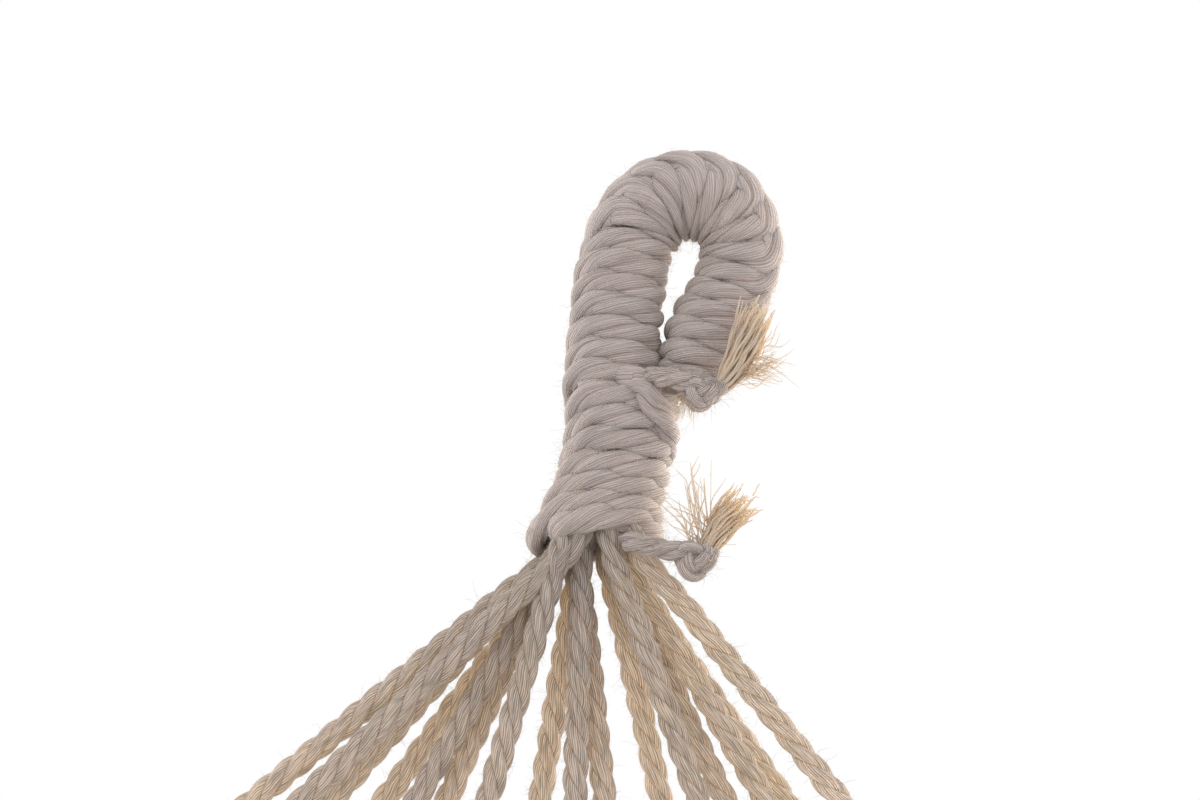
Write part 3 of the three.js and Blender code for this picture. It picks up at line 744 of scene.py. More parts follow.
def neck_serving():
    kept = 1.97, NECK_TURNS + 0.35
    angle, station, crossing = winding(-2.2, NECK_TURNS + 2.2, NECK_RIDGE, 110, kept, 0.05)
    wide = SERVING_SPREAD * NECK_LENGTH / NECK_TURNS
    depth = bedding(crossing, 0.9) + 7 * smooth((station - NECK_TURNS - 0.05) / 0.3)
    start = curve(NECK_START, 0.02).T
    skin = Skin()
    wraps = []
    for line, half in (((station, angle, depth), wide), (start, 4.0)):
        points = neck_place(*line)
        inner = neck_place(line[0], line[1], line[2] + 1.0)
        wraps.append(wound(skin, points, unit(points - inner), [[SERVING_HALF], [half]]))
    fuzz("neck_fuzz", wraps[0], (6000, 1.6), (1400, 4.8))
    return skin.build("neck_serving_rope", serving_cotton)


def core():
    """The gathered cords inside the servings: both legs of the eye, and the neck."""
    skin = Skin()
    turn = np.linspace(0, TAU, 48, endpoint=False)
    centre, out = eye_line(np.linspace(-0.05, 1.05, 110))
    run = lengths(centre)
    lobes = 1 + 0.05 * np.cos(8 * turn[None] - run[:, None] / 9)
    spokes = np.cos(turn)[None, :, None] * FRONT + np.sin(turn)[None, :, None] * out[:, None]
    skin.lattice(centre[:, None] + CORE_HALF * lobes[..., None] * spokes, run / CORD_LAY)
    station = np.linspace(1.6, 8.25, 60)
    level, angle = (grid.ravel() for grid in np.meshgrid(station, turn, indexing="ij"))
    rings = neck_place(level, angle, CORE_DEPTH + 0.5 * np.cos(8 * angle - level))
    skin.lattice(rings.reshape(len(station), len(turn), 3), station * 6 / CORD_LAY)
    return skin.build("core_bundle", cord_cotton)


# ---------------- cords
# Where each cord leaves the neck: X from the middle, and layer from the front to the back
RIM_X = [-10.0, -7.2, -13.0, -9.9, -10.3, -13.0, -10.8, -6.5]
RIM_X = RIM_X + [-6.0, -7.2, 0.9, 1.7, 1.4, 4.2, 3.0, 9.0]
LAYERS = [1, 0, 2, 3, 1, 2, 0, 3, 1, 2, 3, 0, 2, 1, 3, 0]
LAYER_STEP = 6.7
RIM = -87.0
# Inside the neck: height above the rim, and the shares of the rim's X and Y
INSIDE = [(34, 0.5, 0.62), (14, 0.72, 0.8)]
# Shares of the way down to the hole over which the line straightens
LEAD = 0.04, 0.12, 0.3
# Size of a stopper knot, and how much further each next one is turned
KNOT_SIZE, KNOT_TURN = 1.9, 0.6
HAIRS_DOWN_TO = -190
# Distance below the hook and the spacing of rings there, and the spacing in a knot
RING_SPACING = (100, 170, 260), (0.6, 0.9, 1.9)
KNOT_SPACING = 0.8


def cord_spacing(point):
    if point[2] < KNOT_TOP + 8:
        return KNOT_SPACING
    return float(np.interp(-point[2], *RING_SPACING))


def overhand(size):
    """Middle line of an overhand knot about the origin. It comes in from +Z and leaves at -Z."""
    t = np.linspace(0.62, TAU + 0.62, 90)
    flat = np.stack([np.sin(t) + 2 * np.sin(2 * t), np.cos(t) - 2 * np.cos(2 * t)], 1)
    ahead = flat[1] - flat[0]
    spin = -math.atan2(ahead[1], ahead[0]) - math.pi / 2
    cos, sin = math.cos(spin), math.sin(spin)
    flat = flat @ np.array([[cos, sin], [-sin, cos]]) * size
    flat[:, 0] -= 0.55 * flat[0, 0]
    line = np.stack([flat[:, 0], -1.05 * size * np.sin(3 * t), flat[:, 1]], 1)
    return line[8:-8]


def stopper(x, i):
    """Route of the knot under the bar, from the hole down to where the seat cord leaves it."""
    across, deep, high = overhand(KNOT_SIZE).T
    cos, sin = math.cos(KNOT_TURN * i), math.sin(KNOT_TURN * i)
    knot = np.stack([across * cos - deep * sin, across * sin + deep * cos, high], 1)
    knot = knot + vec(x, 0, (KNOT_TOP + KNOT_FOOT) / 2)
    into = curve([vec(x, 0, KNOT_TOP + 1), knot[0], knot[1]])[1:-1]
    out = curve([knot[-2], knot[-1], vec(x, 0, KNOT_FOOT - 0.5)])[1:]
    return np.vstack([into, knot[1:-1], out])


def fan_cord(i):
    x, y, shift = hole_x[i], (LAYERS[i] - 1.5) * LAYER_STEP, RIM_X[i]
    hole = vec(x, 0, BAR + BAR_DIAMETER / 2 + 7)
    rim = vec(MIDDLE + shift, y, RIM)
    far = hole - rim
    inside = [vec(MIDDLE - 1 + shift * a, y * b, RIM + rise) for rise, a, b in INSIDE]
    line = curve([*inside, rim, *(rim + far * share for share in LEAD)])
    rest = np.linspace(line[-1], hole, 300)[1:]
    bend = curve([rest[-2], hole, vec(x, 0, BAR), vec(x, 0, KNOT_TOP + 1)])
    line = spaced(np.vstack([line, rest, bend[3:], stopper(x, i)]), cord_spacing)
    skin = Skin()
    phase = rng.uniform(0, TAU)
    rings = rope(skin, line, CORD / 2 * 1.04, CORD_LAY, per_lobe=9, phase=phase)
    near = np.flatnonzero(rings.mean(1)[:, 2] > HAIRS_DOWN_TO)
    hairs(skin, rings, 700, 1.7, near)
    hairs(skin, rings, 90, 4.0, near)
    return skin.build("fan_cord_%02d" % (i + 1), cord_cotton)


# ---------------- tails
TAIL_HALF, TAIL_LAY = 2.95, 19.0
YARN_RADIUS = 0.36
YARN_POINTS = 26
GOLDEN_ANGLE = 2.399963
# Each tail: its route before the knot, the knot's place, direction and size, and the route after
TAILS = {
    "upper_tail": (
        [(-6.5, -9.5, -41.0), (-4.0, -15.0, -41.4), (1.2, -18.4, -42.2)],
        (8.4, -18.4, -43.6),
        (1, -0.02, -0.10),
        1.0,
        [(12.6, -18.9, -43.8), (13.8, -18.6, -42.6)],
    ),
    "lower_tail": (
        [(-8, -12.5, -85.8), (-3, -16.6, -87.6), (4.0, -18.2, -88.4)],
        (11.6, -18.2, -89.2),
        (1, -0.02, -0.12),
        1.08,
        [(14.6, -18.5, -89.0), (15.2, -18.1, -87.0)],
    ),
}
UPPER_TUFT = [
    (12.4, -18.8, -44.2), (14.8, -18.4, -41.6), (16.8, -17.7, -37.0), (18.6, -17.0, -31.0),
    (20.2, -16.4, -25.0), (21.6, -15.9, -19.6),
]
LOWER_TUFT = [
    (13.8, -18.6, -89.2), (15.2, -18.0, -86.0), (17.8, -17.4, -80.4), (21.0, -16.8, -75.4),
    (24.0, -16.2, -71.8),
]


def tail_rope(name):
    """A serving's end: a short rope with an overhand knot in it."""
    before, knot_at, way, size, after = TAILS[name]
    way = unit(way)
    side = unit(np.cross(way, vec(0, 0, 1)))
    other = np.cross(way, side)
    knot = overhand(size)
    knot = vec(*knot_at) - knot[:, 2:] * way * 1.1 + knot[:, :1] * other + knot[:, 1:2] * side
    into = curve([*before, knot[0], knot[1]])
    out = curve([knot[-2], knot[-1], *after])
    line = spaced(np.vstack([into[:-1], knot[1:-1], out]), lambda p: 0.45)
    ends = smooth(lengths(line) / 3) * 0.3 + 0.7
    skin = Skin()
    rings = rope(skin, line, TAIL_HALF, TAIL_LAY, TAIL, 10, swell=ends)
    hairs(skin, rings, 700, 1.8)
    hairs(skin, rings, 160, 4.5)
    return skin.build(name, tail_cotton)


def yarns(skin, route, widths, count, reach, crimp):
    """A bundle of wavy yarns round a route, each with its own end."""
    line = spaced(curve(route, 0.3), lambda p: 0.55)
    steps = len(line)
    way, side, other = frames(line)
    share = np.linspace(0, 1, steps)
    width = np.interp(share, np.linspace(0, 1, len(widths)), widths)
    run = lengths(line)
    radius = np.sqrt((np.arange(count) + 0.5) / count)
    angle = np.arange(count) * GOLDEN_ANGLE + rng.normal(0, 0.25, count)
    fade = smooth(share / 0.25)
    out = []
    for j in range(count):
        twist = angle[j] + 0.9 * share
        offset = radius[j] * width
        wave = crimp * np.sin(TAU * run / rng.uniform(4.5, 7.5) + rng.uniform(0, 6.28))
        sway = crimp * np.sin(TAU * run / rng.uniform(6, 11) + rng.uniform(0, 6.28))
        stray = fade * share**2 * rng.normal(0, 1.1, 2)[:, None]
        a = np.cos(twist) * offset + fade * wave + stray[0]
        b = np.sin(twist) * offset + fade * sway + stray[1]
        path = line + a[:, None] * side + b[:, None] * other
        stop = rng.uniform(*reach)
        if stop > 1:
            path = path + ((stop - 1) * share**3 * run[-1])[:, None] * way[-1]
            stop = 1
        out.append(sample(np.linspace(0, stop * (steps - 1), YARN_POINTS), np.arange(steps), path))
    taper = np.interp(np.linspace(0, 1, YARN_POINTS), [0, 0.05, 0.8, 1], [0.9, 1, 0.95, 0.25])
    size = YARN_RADIUS * rng.uniform(0.75, 1.15, (count, 1)) * taper
    strands(skin, np.array(out), size, 6, lays=3.0)
    return line


def spray(skin, roots, heading, count, length, thickness, spread, curl):
    """Fine loose yarns that leave a bundle and bend away."""
    root = roots[rng.integers(0, len(roots), count)] + rng.normal(0, 0.8, (count, 3))
    way = unit(vec(*heading) + rng.normal(0, spread, (count, 3)) * vec(1, 0.6, 1))
    aside = unit(np.cross(way, rng.normal(0, 1, (count, 3))))
    reach = rng.uniform(*length, (count, 1))
    bend = rng.normal(0, curl, (count, 1))
    t = np.linspace(0, 1, 14)
    wave = rng.normal(0, 0.05, (count, 1)) * np.sin(11 * t + rng.uniform(0, 6, (count, 1)))
    lines = whiskers(root, way, aside, reach, t, bend * t**2 + wave)
    taper = np.interp(t, [0, 0.85, 1], [1, 0.9, 0.3])
    strands(skin, lines, thickness * rng.uniform(0.6, 1.3, (count, 1)) * taper, 4, lays=3.0)


def part(line, low, high=1.0):
    """The stretch of a line's points between two shares of their number."""
    return line[int(len(line) * low) : int(len(line) * high)]


def upper_tuft():
    skin = Skin()
    line = yarns(skin, UPPER_TUFT, [1.8, 3.0, 3.9, 4.4, 4.7, 4.8], 84, (0.72, 1.05), 0.20)
    low = part(line, 0.12, 0.5) + vec(2.4, 0, 0)
    spray(skin, low, (1, -0.05, 0.30), 42, (6, 13.5), 0.13, 0.20, 0.35)
    spray(skin, low, (1, -0.1, -0.05), 16, (6, 12), 0.15, 0.16, 0.4)
    spray(skin, part(line, 0.8), (0.1, -0.1, 1), 14, (2, 4), 0.2, 0.4, 0.3)
    under = line[:3] + vec(-6.5, 1.5, 0.5)
    spray(skin, under, (-0.1, -0.1, -1), 130, (4, 9.5), 0.06, 0.32, 0.5)
    return skin.build("upper_tuft", tuft_cotton)


def lower_tuft():
    skin = Skin()
    line = yarns(skin, LOWER_TUFT, [1.9, 3.1, 4.2, 4.9, 5.3], 66, (0.74, 1.04), 0.22)
    spray(skin, part(line, 0.5), (0.75, -0.1, 0.6), 16, (3, 6), 0.16, 0.3, 0.3)
    up = part(line, 0.05, 0.4) + vec(-1.8, 0, 0)
    spray(skin, up, (-0.30, -0.05, 1), 20, (12, 22), 0.21, 0.16, 0.30)
    spray(skin, up, (-1, -0.1, 0.9), 10, (8, 15), 0.2, 0.25, 0.5)
    spray(skin, part(line, 0, 0.3), (0.3, -0.2, -1), 14, (3, 6), 0.12, 0.6, 0.6)
    return skin.build("lower_tuft", tuft_cotton)


# ---------------- wooden bar
EARLY_WOOD, LATE_WOOD = linear(214, 178, 128), linear(180, 134, 84)
WARM_WOOD, PORE = linear(203, 160, 108), linear(120, 82, 48)
RINGS_PER_METRE = 420.0
BAR_EDGE = 9.0
BAR_SHARP = 35
BORE_GAP = 0.55


def wood():
    s = Shader("bar_wood")
    stretched = s.scaled(s.place, (1.6, 24, 24))
    _, y, z = s.split(s.place)
    y, z = s.math("ADD", y, 0.031), s.math("ADD", z, 0.585)
    far = s.math("SQRT", s.math("ADD", s.times(y, y), s.times(z, z)))
    warp = s.times(s.noise(stretched, 1.4, 3.0, 0.55), 3.4)
    ring = s.math("FRACT", s.times_plus(far, RINGS_PER_METRE, warp))
    tone = s.mix(s.ramp(ring, 0.55, 0.97), EARLY_WOOD, LATE_WOOD)
    board = s.noise(stretched, 0.35)
    tone = s.mix(s.ramp(board, 0.35, 0.7, 0.0, 0.6), tone, WARM_WOOD)
    fibre = s.noise(s.scaled(s.place, (14, 900, 900)), 1.0, 3.0, 0.6)
    tone = s.shaded(tone, s.ramp(fibre, 0.3, 0.7, 0.86, 1.05))
    pore = s.ramp(s.noise(s.scaled(s.place, (60, 1500, 1500)), 1.0, 1.0), 0.70, 0.78, 0.0, 0.5)
    height = s.times_plus(pore, -0.6, s.times(fibre, 0.5))
    s.set(
        Base_Color=s.mix(pore, tone, PORE),
        Normal=s.bump(height, 0.00012),
        Roughness=s.ramp(fibre, 0.2, 0.8, 0.42, 0.58),
        Specular_IOR_Level=0.4,
        Coat_Weight=0.08,
        Coat_Roughness=0.35,
    )
    return s.material


def lathe(skin, profile, sides, place, axis, first, second, lays=None):
    """A turned form: profile is rows of (radius, height along axis). With lays it is open."""
    turn = TAU * np.arange(sides) / sides
    radius, height = np.asarray(profile, float).T
    spokes = np.cos(turn)[:, None] * first + np.sin(turn)[:, None] * second
    rings = place + height[:, None, None] * axis + radius[:, None, None] * spokes
    skin.lattice(rings, height / 10 if lays is None else lays, capped=lays is None)


def spreader_bar():
    across, ahead, up = np.eye(3)
    arc = np.linspace(0, math.pi / 2, 12)
    radius, half = BAR_DIAMETER / 2, BAR_HALF
    tip = [radius - BAR_EDGE + BAR_EDGE * np.sin(arc), -half + BAR_EDGE - BAR_EDGE * np.cos(arc)]
    end = np.vstack([[(1.0, -half), (4.0, -half)], np.stack(tip, 1)])
    along = np.linspace(-half + BAR_EDGE, half - BAR_EDGE, 150)[1:-1]
    turned = radius + 0.05 * rng.normal(0, 1, len(along))
    profile = np.vstack([end, np.stack([turned, along], 1), (end * vec(1, -1))[::-1]])
    skin = Skin()
    lathe(skin, profile, 96, vec(MIDDLE, 0, BAR), across, ahead, up)
    bar = skin.build("turned_bar", wood(), sharp=BAR_SHARP)
    bore, reach = CORD / 2 + BORE_GAP, radius + 4
    flare = [(bore + 3.2, reach), (bore + 0.9, radius - 0.4), (bore + 0.25, radius - 1.6)]
    flare.append((bore, radius - 3))
    cutter = Skin()
    for x in hole_x:
        profile = [(r, -h) for r, h in flare] + flare[::-1]
        lathe(cutter, profile, 40, vec(x, 0, BAR), up, across, ahead)
    holes = cutter.build("bar_bores", bar.data.materials[0])
    cut = bar.modifiers.new("bores", "BOOLEAN")
    cut.object, cut.operation, cut.solver = holes, "DIFFERENCE", "EXACT"
    graph = bpy.context.evaluated_depsgraph_get()
    mesh = bpy.data.meshes.new_from_object(bar.evaluated_get(graph))
    bar.modifiers.clear()
    bar.data = mesh
    mesh.set_sharp_from_angle(angle=math.radians(BAR_SHARP))
    bpy.data.objects.remove(holes)
    return bar


# ---------------- seat cloth
SEAT_HALF_WIDTH, SEAT_DEPTH, SEAT_HEIGHT = 360.0, 615.0, 530.0
SEAT_DROP, SEAT_SETBACK = 479.6, 75.0
CANVAS = 2.4
EYELET_INSET, EYELET_BORE, EYELET_DIAMETER = 24.0, 13.0, 26.0
# The cloth lies flat this far round an eyelet, and takes its own shape over the fade
FLAT_RADIUS, FLAT_FADE = 52.0, 45.0
# Height and number of the folds along each side, and along the top
SIDE_FOLD, SIDE_FOLDS, TOP_FOLD, TOP_FOLDS = 7, 3.5, 5, 3
# Four rails from the middle to the side, each from the front edge over the bottom to the top
RAILS = np.array([
    [(0, -0.426, 0.1472), (0, -0.1951, 0.0189), (0, 0.1138, 0), (0, 0.4, 0.1472),
     (0, 0.5496, 0.4491), (0, 0.561, 0.7472), (0, 0.4488, 1)],
    [(0.4583, -0.4325, 0.1623), (0.5278, -0.1984, 0.0226), (0.5417, 0.1073, 0.0075),
     (0.4944, 0.3902, 0.1623), (0.4167, 0.5301, 0.4566), (0.3111, 0.5528, 0.7472),
     (0.2444, 0.439, 0.9962)],
    [(0.8333, -0.439, 0.2566), (0.9583, -0.2439, 0.2), (1, 0.0163, 0.2377),
     (0.9667, 0.2439, 0.3509), (0.8333, 0.426, 0.5396), (0.6444, 0.4813, 0.7509),
     (0.4583, 0.4065, 0.9811)],
    [(0.8944, -0.4195, 0.6906), (0.9583, -0.2797, 0.7321), (0.9778, -0.1008, 0.7811),
     (0.9556, 0.0813, 0.8377), (0.8833, 0.2309, 0.8943), (0.7833, 0.3252, 0.9434),
     (0.6667, 0.3512, 0.9811)],
]) * vec(SEAT_HALF_WIDTH, SEAT_DEPTH, SEAT_HEIGHT)
RAILS = RAILS + vec(0, -SEAT_SETBACK, BAR - SEAT_DROP - SEAT_HEIGHT)
# Side and length of the eyelets of one half: front corner, side, top corner, top edge
EYELET_PLACES = [(1, 0), (1, 0.4), (1, 1), (0.36, 1)]
SHIFT = vec(MIDDLE, 0, 0)


def stretch(a, b):
    """The centripetal curve's step between two points."""
    return np.sum((b - a) ** 2, -1, keepdims=True) ** 0.25


def rail_point(rail, share):
    """A point on the centripetal curve through a rail's points, at shares of its stretches."""
    last = len(rail) - 1
    at = np.clip(share, 0, 1) * last
    i = np.minimum(at.astype(int), last - 1)
    weight = (at - i)[..., None]
    padded = np.vstack([2 * rail[0] - rail[1], rail, 2 * rail[-1] - rail[-2]])
    p0, p1, p2, p3 = (padded[i + k] for k in range(4))
    d0, d1, d2 = stretch(p0, p1), stretch(p1, p2), stretch(p2, p3)
    t1 = ((p1 - p0) / d0 - (p2 - p0) / (d0 + d1) + (p2 - p1) / d1) * d1
    t2 = ((p2 - p1) / d1 - (p3 - p1) / (d1 + d2) + (p3 - p2) / d2) * d1
    c2 = -3 * p1 + 3 * p2 - 2 * t1 - t2
    c3 = 2 * p1 - 2 * p2 + t1 + t2
    return p1 + weight * (t1 + weight * (c2 + weight * c3))


def drape(side, length):
    """The cloth without folds. side goes from -1 to 1, length from 0 in front to 1 at the top."""
    side, length = np.broadcast_arrays(np.asarray(side, float), np.asarray(length, float))
    a, b, c, d = (rail_point(rail, length) for rail in RAILS)
    t = np.abs(side)[..., None]
    s = 1 - t
    p = a * s**3 + b * 3 * s * s * t + c * 3 * s * t * t + d * t**3
    p[..., 0] = np.where(side < 0, -p[..., 0], p[..., 0])
    return p


def drape_normal(side, length):
    step = 0.01
    along = drape(side, np.minimum(length + step, 1)) - drape(side, np.maximum(length - step, 0))
    across = drape(np.minimum(side + step, 1), length) - drape(np.maximum(side - step, -1), length)
    return unit(np.cross(across, along))


def eyelet_seats():
    """Each eyelet's point, pull towards the bar, normal and its cord's holes, in the chair's X."""
    seats = []
    for mirror in (-1, 1):
        for pair, (side, length) in enumerate(EYELET_PLACES):
            edge = np.linalg.norm(drape(1, length) - drape(0.9, length)) / 0.1
            row = np.linalg.norm(drape(side, 1) - drape(side, 0.95)) / 0.05
            inset = EYELET_INSET / row
            if side == 1:
                side = 1 - EYELET_INSET / edge
            length = min(max(length, inset), 1 - inset)
            point = drape(mirror * side, length)
            holes = [-mirror * (hole_x[2 * pair + k] - MIDDLE) for k in (0, 1)]
            towards = unit(vec(sum(holes) / 2, 0, KNOT_FOOT) - point)
            normal = drape_normal(mirror * side, length)
            normal = unit(normal - towards * (normal @ towards))
            seats.append((point, towards, normal, holes))
    return seats


SEATS = eyelet_seats()


def held(point, seat):
    """1 where an eyelet holds the cloth flat, down to 0 further off."""
    return 1 - smooth((np.linalg.norm(point - seat, axis=-1) - FLAT_RADIUS) / FLAT_FADE)


def cloth(side, length):
    """The cloth with its folds, drawn flat round each eyelet, in the chair's own X."""
    normal = drape_normal(side, length)
    near_side = smooth((np.abs(side) - 0.45) / 0.55)
    near_top = smooth((length - 0.45) / 0.55)
    side_fold = SIDE_FOLD * near_side * (1 - near_top) * np.sin(TAU * SIDE_FOLDS * length)
    top_fold = TOP_FOLD * near_top * (1 - near_side) * np.cos(TAU * TOP_FOLDS * side)
    point = drape(side, length)
    flat = np.max([held(point, seat[0]) for seat in SEATS], 0)
    creases = 1.3 * np.sin(9 * length + 4 * side + 1) * np.sin(13 * side - 5 * length)
    creases = creases + 0.7 * np.sin(31 * length - 11 * side) * np.sin(17 * side + 3)
    fold = side_fold + top_fold + creases * (1 - flat)
    point = point + fold[..., None] * normal
    for seat, _, pull, _ in SEATS:
        hold = held(point, seat)[..., None]
        height = ((point - seat) @ pull)[..., None]
        point = point - height * hold * pull
        normal = unit(normal * (1 - hold) + pull * hold)
    return point, normal


CANVAS_PALE, CANVAS_WARM = linear(232, 223, 207), linear(225, 214, 195)
THREAD_PITCH = 1.15
SLUB_FINE, SLUB_LONG = 0.9, 0.03


def canvas_material():
    """Plain weave: warp and weft threads go over each other by turns, some of them thicker."""
    s = Shader("seat_canvas")
    across, along = s.uv()
    wander = s.noise(s.place, 120.0)
    u, v = (s.times(s.times_plus(wander, 0.5, way), 1.0 / THREAD_PITCH) for way in (across, along))
    warp, weft = (s.math("ABSOLUTE", s.math("SINE", s.times(way, math.pi))) for way in (u, v))
    parity = s.math("ADD", s.math("FLOOR", u), s.math("FLOOR", v))
    over = s.math("GREATER_THAN", s.math("FRACT", s.times(parity, 0.5)), 0.25)
    under = s.math("SUBTRACT", 1.0, over)
    height = s.math("ADD", s.times(warp, over), s.times(weft, under))
    slub, slub_across = (
        s.noise(s.combine(s.times(across, a), s.times(along, b)), 1.0, dimensions="2D")
        for a, b in ((SLUB_FINE, SLUB_LONG), (SLUB_LONG, SLUB_FINE))
    )
    cloud = s.noise(s.place, 9.0, 4.0, 0.55)
    tone = s.mix(s.ramp(cloud, 0.35, 0.68), CANVAS_PALE, CANVAS_WARM)
    streak = s.ramp(slub, 0.3, 0.72, 0.93, 1.04)
    streak = s.times(streak, s.ramp(slub_across, 0.3, 0.72, 0.94, 1.03))
    # Painted shade: darker where the weave's height is low, in the gaps between the threads
    weave = s.ramp(height, 0.0, 0.9, 0.84, 1.02)
    # Painted shade: darker beside the edges of the hem and the patches, from the crease attribute
    crease = s.ramp(s.attribute("crease"), 0.0, 1.0, 1.0, 0.9)
    s.set(
        Base_Color=s.shaded(tone, s.times(s.times(streak, weave), crease)),
        Normal=s.bump(s.math("ADD", height, s.times(slub, 0.5)), 0.00014),
        Roughness=0.92,
        Specular_IOR_Level=0.15,
        Sheen_Weight=0.25,
        Sheen_Roughness=0.5,
    )
    return s.material


HEM, PATCH = 22.0, 29.0  # the hem's width, and half the side of the patch at an eyelet
COLUMNS, ROWS = 201, 171
# Half thickness of the cloth, and what the hem and the patches add to it
CLOTH_HALF, HEM_HALF, PATCH_HALF = 0.85, 0.55, 0.4
LAYER_RISE = 2.5
PATCH_REACH = 20  # off the patch's plane, which keeps it on its own side of the seat
FLANGE_COVER = 1.6  # how far the flange reaches past the cloth's hole
# Strength and width of the shade painted in the crease beside a sewn layer's edge
LIP_SHADE, LIP_WIDTH = 0.8, 2.0
# A stitch: its points' places along the row and heights over the cloth's face, and the row's pitch
STITCH_AT, STITCH_HEIGHT = vec(0, 0.5, 1.9, 3.3, 3.8), vec(-0.5, 0.1, 0.32, 0.1, -0.5)
STITCH_PITCH, STITCH_GAP, THREAD_RADIUS = 5.4, 0.6, 0.36
STITCH_ROWS = (3.0, HEM - 2.5)


def warped(count):
    """From -1 to 1, closer together towards both ends."""
    u = np.linspace(-1, 1, count)
    return 0.32 * u + 0.68 * np.sin(math.pi * u / 2)


def lip_at(gap):
    """The shade in the crease beside the edge of a sewn layer."""
    return np.exp(-((gap / LIP_WIDTH) ** 2)) * LIP_SHADE


def canvas():
    """The sewn sheet, its stitching, and its flat size and area in metres."""
    side, length = np.meshgrid(warped(COLUMNS), 0.5 + 0.5 * warped(ROWS), indexing="xy")
    point, normal = cloth(side, length)
    step_across = np.linalg.norm(np.diff(point, axis=1), axis=2)
    step_along = np.linalg.norm(np.diff(point, axis=0), axis=2)
    across = np.pad(np.cumsum(step_across, 1), ((0, 0), (1, 0)))
    along = np.pad(np.cumsum(step_along, 0), ((1, 0), (0, 0)))
    from_side = np.minimum(across, across[:, -1:] - across)
    edge = np.minimum(from_side, np.minimum(along, along[-1:] - along))
    half = CLOTH_HALF + HEM_HALF * smooth((HEM - edge) / LAYER_RISE)
    half = half * (0.45 + 0.55 * smooth(edge / 1.2 + 0.15))
    lip = lip_at(edge - HEM)
    closest = np.full(edge.shape, 1e9)
    for seat, towards, pull, _ in SEATS:
        away = point - seat
        patch = np.maximum(np.abs(away @ towards), np.abs(away @ np.cross(towards, pull)))
        near = np.abs(away @ pull) < PATCH_REACH
        half = half + PATCH_HALF * smooth((PATCH - patch) / LAYER_RISE) * near
        lip = lip + lip_at(patch - PATCH) * near
        closest = np.minimum(closest, np.linalg.norm(away, axis=-1))
    area = (step_across[:-1] + step_across[1:]) / 2 * (step_along[:, :-1] + step_along[:, 1:]) / 2
    flat = (across[:, -1].max() * MM, along[-1].max() * MM)
    point = point + SHIFT
    skin = Skin()
    front = skin.add(point + normal * half[..., None], lip)
    back = skin.add(point - normal * half[..., None], lip)
    r, c = np.meshgrid(np.arange(ROWS - 1), np.arange(COLUMNS - 1), indexing="ij")
    corner = [(0, 0), (0, 1), (1, 1), (1, 0)]
    hole = EYELET_DIAMETER / 2 - FLANGE_COVER
    whole = np.max([closest[r + i, c + j] for i, j in corner], 0) > hole
    r, c = r[whole], c[whole]
    quads = np.stack([(r + i) * COLUMNS + c + j for i, j in corner], -1)
    place = np.stack([(across - across[:, COLUMNS // 2, None]).ravel(), along.ravel()], -1)
    skin.faces(front + quads, place[quads])
    skin.faces((back + quads)[:, ::-1], place[quads][:, ::-1])
    # walls close the rims, along the sides that only one face has
    sides = np.concatenate([quads[:, [k, (k + 1) % 4]] for k in range(4)])
    _, index, times = np.unique(np.sort(sides, 1), axis=0, return_index=True, return_counts=True)
    a, b = sides[index[times == 1]].T
    walls = np.stack([front + b, front + a, back + a, back + b], -1)
    skin.faces(walls, place[np.stack([b, a, a, b], -1)])
    sheet = skin.build("seat_cloth", canvas_material(), sharp=60)
    threads = stitching(point, normal, half, across, along)
    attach(threads, "seat")
    return sheet, threads, flat, float(area.sum()) * MM * MM


def stitching(point, normal, half, across, along):
    """Rows of thread along the hem, on both faces. They stop at the eyelets' flanges."""
    lines = []
    flanges = np.array([seat[0] for seat in SEATS]) + SHIFT
    clear = EYELET_DIAMETER / 2 + STITCH_GAP
    table = np.concatenate([point, normal, half[..., None]], 2)

    def sew(path, square):
        run = lengths(path)
        for start in np.arange(1.0, run[-1] - 4, STITCH_PITCH):
            at = start + STITCH_AT
            p = sample(at, run, path)
            if np.linalg.norm(p[:, None] - flanges, axis=-1).min() >= clear:
                lines.append(p + unit(sample(at, run, square)) * STITCH_HEIGHT[:, None])

    # each row runs at one distance from the start, then from the end, of the lines that cross it
    for distance in STITCH_ROWS:
        for runs, rows in ((across, table), (along.T, table.swapaxes(0, 1))):
            for from_end in (False, True):
                at = runs[:, -1] - distance if from_end else np.full(len(runs), distance)
                found = np.array([sample(*line) for line in zip(at, runs, rows)])
                run = lengths(found[:, :3])
                keep = (run > distance) & (run < run[-1] - distance)
                p, n, h = found[keep, :3], unit(found[keep, 3:6]), found[keep, 6:]
                sew(p + n * h, n)
                sew(p - n * h, -n)
    skin = Skin()
    strands(skin, np.array(lines), THREAD_RADIUS, 4, lays=0.5)
    return skin.build("seat_stitching", tuft_cotton)


# ---------------- eyelets and seat cords
BRASS_BRIGHT, BRASS_DULL = linear(190, 160, 98), linear(158, 128, 74)
FLANGE, FLANGE_GAP = 0.9, 0.3
BEND_REACH, LEG_SPACING = 16, 2.0


def brass():
    s = Shader("eyelet_brass")
    cloud = s.noise(s.place, 160.0, 3.0, 0.6)
    s.set(
        Base_Color=s.mix(s.ramp(cloud, 0.3, 0.7), BRASS_BRIGHT, BRASS_DULL),
        Normal=s.bump(s.noise(s.place, 1800.0, 3.0, 0.6), 0.00004),
        Metallic=1.0,
        Roughness=s.ramp(cloud, 0.3, 0.7, 0.28, 0.46),
    )
    return s.material


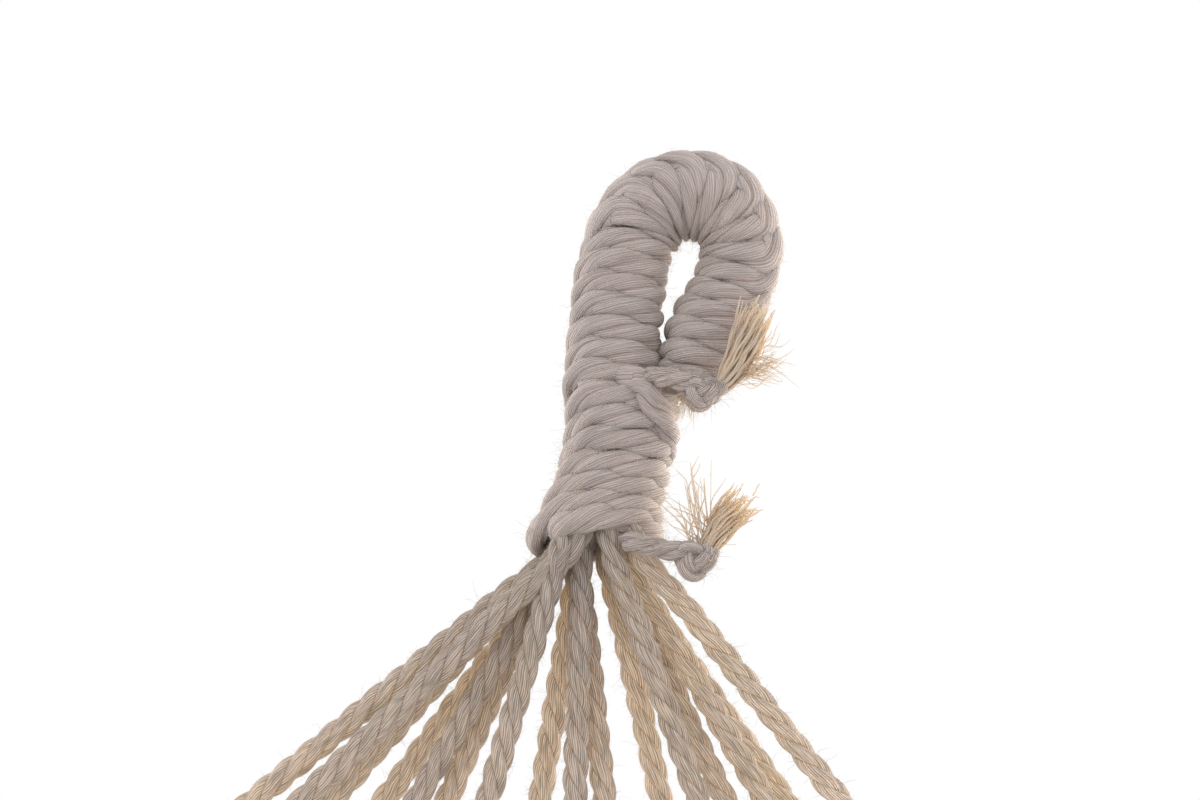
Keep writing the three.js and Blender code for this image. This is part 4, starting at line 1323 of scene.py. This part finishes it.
def eyelet(k, seat, material):
    point, towards, normal, _ = seat
    bore, edge, inner = EYELET_BORE / 2, EYELET_DIAMETER / 2, CANVAS / 2 + 0.15
    # radius and height of the rolled flange, from the bore round the rim and back to the bore
    half = [
        (bore, 0.8), (bore + 0.1, 1.7), (bore + 0.5, 2.2), (bore + 1.2, 2.4), (bore + 2.6, 2.3),
        (bore + 4.6, 2.0), (edge - 0.5, 1.75), (edge, 1.45), (edge - 0.15, 1.2),
        (edge - 0.8, inner), (bore + 1.1, inner),
    ]
    rows = curve([(r, h, 0) for r, h in half], 0.35)[:, :2]
    profile = np.vstack([rows, (rows * vec(1, -1))[::-1], rows[:1]])
    sideways, lays = np.cross(towards, normal), np.arange(len(profile)) * 0.1
    skin = Skin()
    lathe(skin, profile, 48, point + SHIFT, normal, towards, sideways, lays)
    made = skin.build("rolled_eyelet_%d" % k, material, sharp=50)
    piece(made, "seat", "eyelet_%d" % k)


def seat_cord(k, seat):
    """Two legs from the stopper knots, and the bend through the eyelet."""
    point, towards, normal, holes = seat
    bend = CANVAS / 2 + FLANGE_GAP + FLANGE + FLANGE_GAP + CORD / 2
    middle = point + towards * (EYELET_BORE / 2 - 0.3)
    angle = np.linspace(0, math.pi, 24)[:, None]
    arc = middle + bend * (np.cos(angle) * normal - np.sin(angle) * towards)
    near, far = sorted(holes, key=lambda x: -x * normal[0])
    top = [vec(x, 0, KNOT_FOOT) for x in (near, far)]
    down = np.linspace(top[0], arc[0], 260)[:-1]
    up = np.linspace(arc[-1], top[1], 260)[1:]
    lead = [curve([t + vec(0, 0, 4), t, leg]) for t, leg in ((top[0], down[6]), (top[1], up[-7]))]
    line = np.vstack([lead[0], down[7:], arc, up[:-7], lead[1][::-1]]) + SHIFT
    middle = middle + SHIFT

    def spacing(point):
        return KNOT_SPACING if np.linalg.norm(point - middle) < BEND_REACH else LEG_SPACING

    line = spaced(line, spacing)
    skin = Skin()
    rope(skin, line, CORD / 2, CORD_LAY, phase=rng.uniform(0, TAU))
    made = skin.build("seat_rope_%d" % k, cord_cotton)
    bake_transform(made)
    stand_in("seat_cord_%d" % k)


# ---------------- floor
FLOOR_PALE, FLOOR_GREY = (0.86, 0.86, 0.855), (0.82, 0.82, 0.815)
FLOOR_REACH, FLOOR_LEVEL = 9.0, -1.95  # metres


def floor():
    s = Shader("floor")
    cloud = s.ramp(s.noise(s.place, 1.3, 3.0), 0.3, 0.7)
    s.set(Base_Color=s.mix(cloud, FLOOR_PALE, FLOOR_GREY), Roughness=0.9, Specular_IOR_Level=0.1)
    corners = [(-1, -1), (1, -1), (1, 1), (-1, 1)]
    mesh = bpy.data.meshes.new("floor")
    points = [(x * FLOOR_REACH, y * FLOOR_REACH, FLOOR_LEVEL) for x, y in corners]
    mesh.from_pydata(points, [], [(0, 1, 2, 3)])
    mesh.materials.append(s.material)
    linked("floor", mesh)


# ---------------- all pieces
piece(eye_serving(), "eye", "eye_serving")
piece(neck_serving(), "eye", "neck_serving")
piece(core(), "eye", "cord_bights")

for i in range(HOLES):
    cord = fan_cord(i)
    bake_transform(cord)
    stand_in("spreader_cord_%02d" % (i + 1))

piece(tail_rope("upper_tail"), "eye", "upper_tail_knot")
piece(upper_tuft(), "eye", "upper_tail_tuft")
piece(tail_rope("lower_tail"), "eye", "lower_tail_knot")
piece(lower_tuft(), "eye", "lower_tail_tuft")

piece(spreader_bar(), "spreader", "spreader_bar")

eyelet_brass = brass()
for k, seat in enumerate(SEATS, 1):
    eyelet(k, seat, eyelet_brass)
    seat_cord(k, seat)

sheet, threads, flat, flat_area = canvas()
piece(sheet, "seat", "seat_canvas")
floor()
